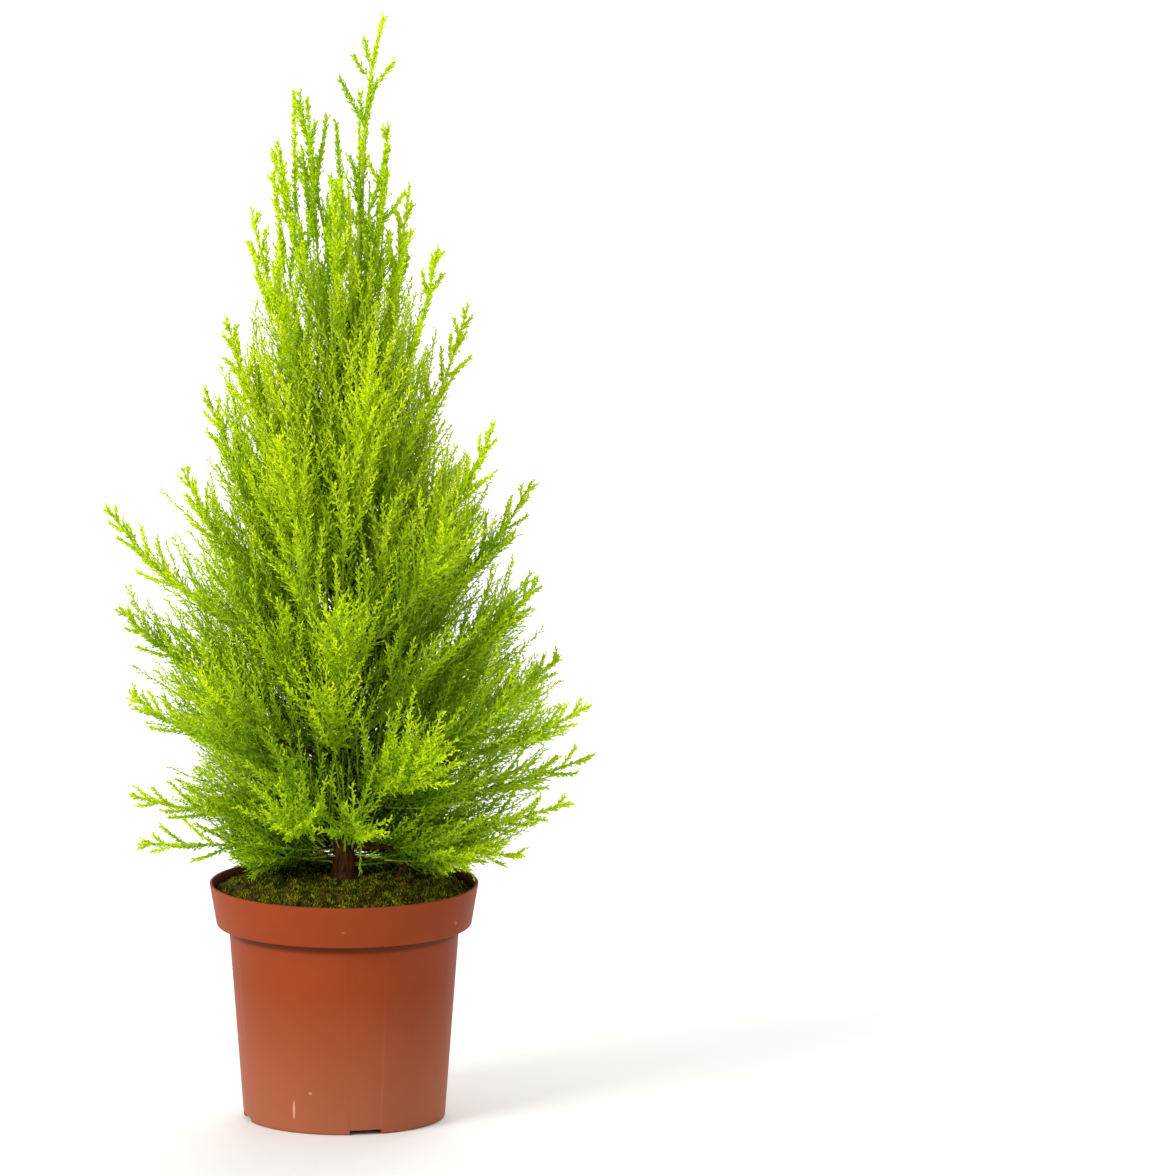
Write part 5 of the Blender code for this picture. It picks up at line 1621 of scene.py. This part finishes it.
class CYPRESS_OT_stage(bpy.types.Operator):
    """Sets the floor, the soft lights, the pale surroundings and the camera.

    The camera looks down by its height angle at the point that the middle of the picture shows. Its lens
    makes the picture's width, at that point, the picture's pixels over the pixels in a metre.
    """

    bl_idname = "cypress.stage"
    bl_label = "Stage"

    def execute(self, context):
        settings = context.scene.cypress_stage
        self.make_floor(settings)
        self.make_lights(settings)
        self.make_camera(settings)
        return {"FINISHED"}

    def make_floor(self, settings):
        """A plain square at the height of the pot's underside."""
        corners = [(-1.0, -1.0, 0.0), (1.0, -1.0, 0.0), (1.0, 1.0, 0.0), (-1.0, 1.0, 0.0)]
        mesh = bpy.data.meshes.new("floor")
        mesh.from_pydata(FLOOR_REACH * np.array(corners), [], [(0, 1, 2, 3)])
        mesh.materials.append(new_material("painted_floor", tuple(settings.floor_colour), 0.9)[0])
        floor = bpy.data.objects.new("floor", mesh)
        bpy.context.scene.collection.objects.link(floor)

    def make_lights(self, settings):
        """White surroundings, a large soft light at the front left, and one on the floor behind the pot."""
        world = bpy.data.worlds.new("pale_surroundings")
        world.use_nodes = True
        background = world.node_tree.nodes["Background"]
        background.inputs["Color"].default_value = (1.0, 1.0, 1.0, 1.0)
        background.inputs["Strength"].default_value = SURROUNDINGS_STRENGTH
        bpy.context.scene.world = world
        power = settings.key_power
        floor_power = power * FLOOR_LIGHT_SHARE
        self.add_light("key_light", KEY_LIGHT_PLACE, PLANT_MIDDLE, KEY_LIGHT_SIZE, power)
        self.add_light("floor_light", FLOOR_LIGHT_PLACE, FLOOR_LIGHT_AIM, FLOOR_LIGHT_SIZE, floor_power)
        bpy.context.scene.view_settings.view_transform = "Standard"
        bpy.context.scene.view_settings.look = "None"

    def add_light(self, name, place, aimed_at, size, power):
        """Adds a square soft light at a place, turned towards a point."""
        data = bpy.data.lights.new(name, "AREA")
        data.size = size
        data.energy = power
        light = bpy.data.objects.new(name, data)
        light.location = place
        aim = Vector(aimed_at) - light.location
        light.rotation_euler = aim.to_track_quat("-Z", "Y").to_euler()
        bpy.context.scene.collection.objects.link(light)

    def make_camera(self, settings):
        """Aims at the point that the picture's middle shows, and stands off it by the distance."""
        half = FRAME_SIZE_PX / 2.0
        tilt = settings.elevation
        across = (half - POT_AXIS_PX) / PIXELS_PER_METRE
        above = (POT_BASE_PX - half) / PIXELS_PER_METRE / math.cos(tilt)
        aim = Vector((across, 0.0, above))
        data = bpy.data.cameras.new("camera")
        data.sensor_width = SENSOR_WIDTH
        data.lens = SENSOR_WIDTH * settings.distance / (FRAME_SIZE_PX / PIXELS_PER_METRE)
        data.clip_end = CLIP_END
        camera = bpy.data.objects.new("camera", data)
        back = Vector((0.0, -math.cos(tilt), math.sin(tilt)))
        camera.location = aim + back * settings.distance
        camera.rotation_euler = (-back).to_track_quat("-Z", "Y").to_euler()
        bpy.context.scene.collection.objects.link(camera)
        bpy.context.scene.camera = camera


class CYPRESS_PT_panel(bpy.types.Panel):
    """Lists the plant's pieces with their settings."""

    bl_idname = "CYPRESS_PT_panel"
    bl_label = "Cypress"
    bl_space_type = "VIEW_3D"
    bl_region_type = "UI"
    bl_category = "Cypress"

    def draw(self, context):
        scene = context.scene
        groups = (
            (scene.cypress_pot, CYPRESS_OT_pot),
            (scene.cypress_soil, CYPRESS_OT_soil),
            (None, CYPRESS_OT_bark),
            (scene.cypress_crown, CYPRESS_OT_crown),
            (scene.cypress_stage, CYPRESS_OT_stage),
        )
        for settings, operator in groups:
            box = self.layout.box()
            for name in settings.__annotations__ if settings else ():
                box.prop(settings, name)
            box.operator(operator.bl_idname)


CLASSES = (
    PotSettings,
    CrownSettings,
    SoilSettings,
    StageSettings,
    CYPRESS_OT_pot,
    CYPRESS_OT_soil,
    CYPRESS_OT_bark,
    CYPRESS_OT_crown,
    CYPRESS_OT_stage,
    CYPRESS_PT_panel,
)
SETTINGS = {
    "cypress_pot": PotSettings,
    "cypress_crown": CrownSettings,
    "cypress_soil": SoilSettings,
    "cypress_stage": StageSettings,
}


def register():
    """Registers the classes and gives the scene its groups of settings."""
    for made in CLASSES:
        bpy.utils.register_class(made)
    for name, group in SETTINGS.items():
        setattr(bpy.types.Scene, name, bpy.props.PointerProperty(type=group))


def unregister():
    """Takes the settings and classes away again."""
    for name in SETTINGS:
        delattr(bpy.types.Scene, name)
    for made in reversed(CLASSES):
        bpy.utils.unregister_class(made)


def main():
    """Makes the stage and each group of pieces in order."""
    register()
    bpy.ops.cypress.stage()
    bpy.ops.cypress.pot()
    bpy.ops.cypress.soil()
    bpy.ops.cypress.bark()
    bpy.ops.cypress.crown()


if __name__ == "__main__":
    main()
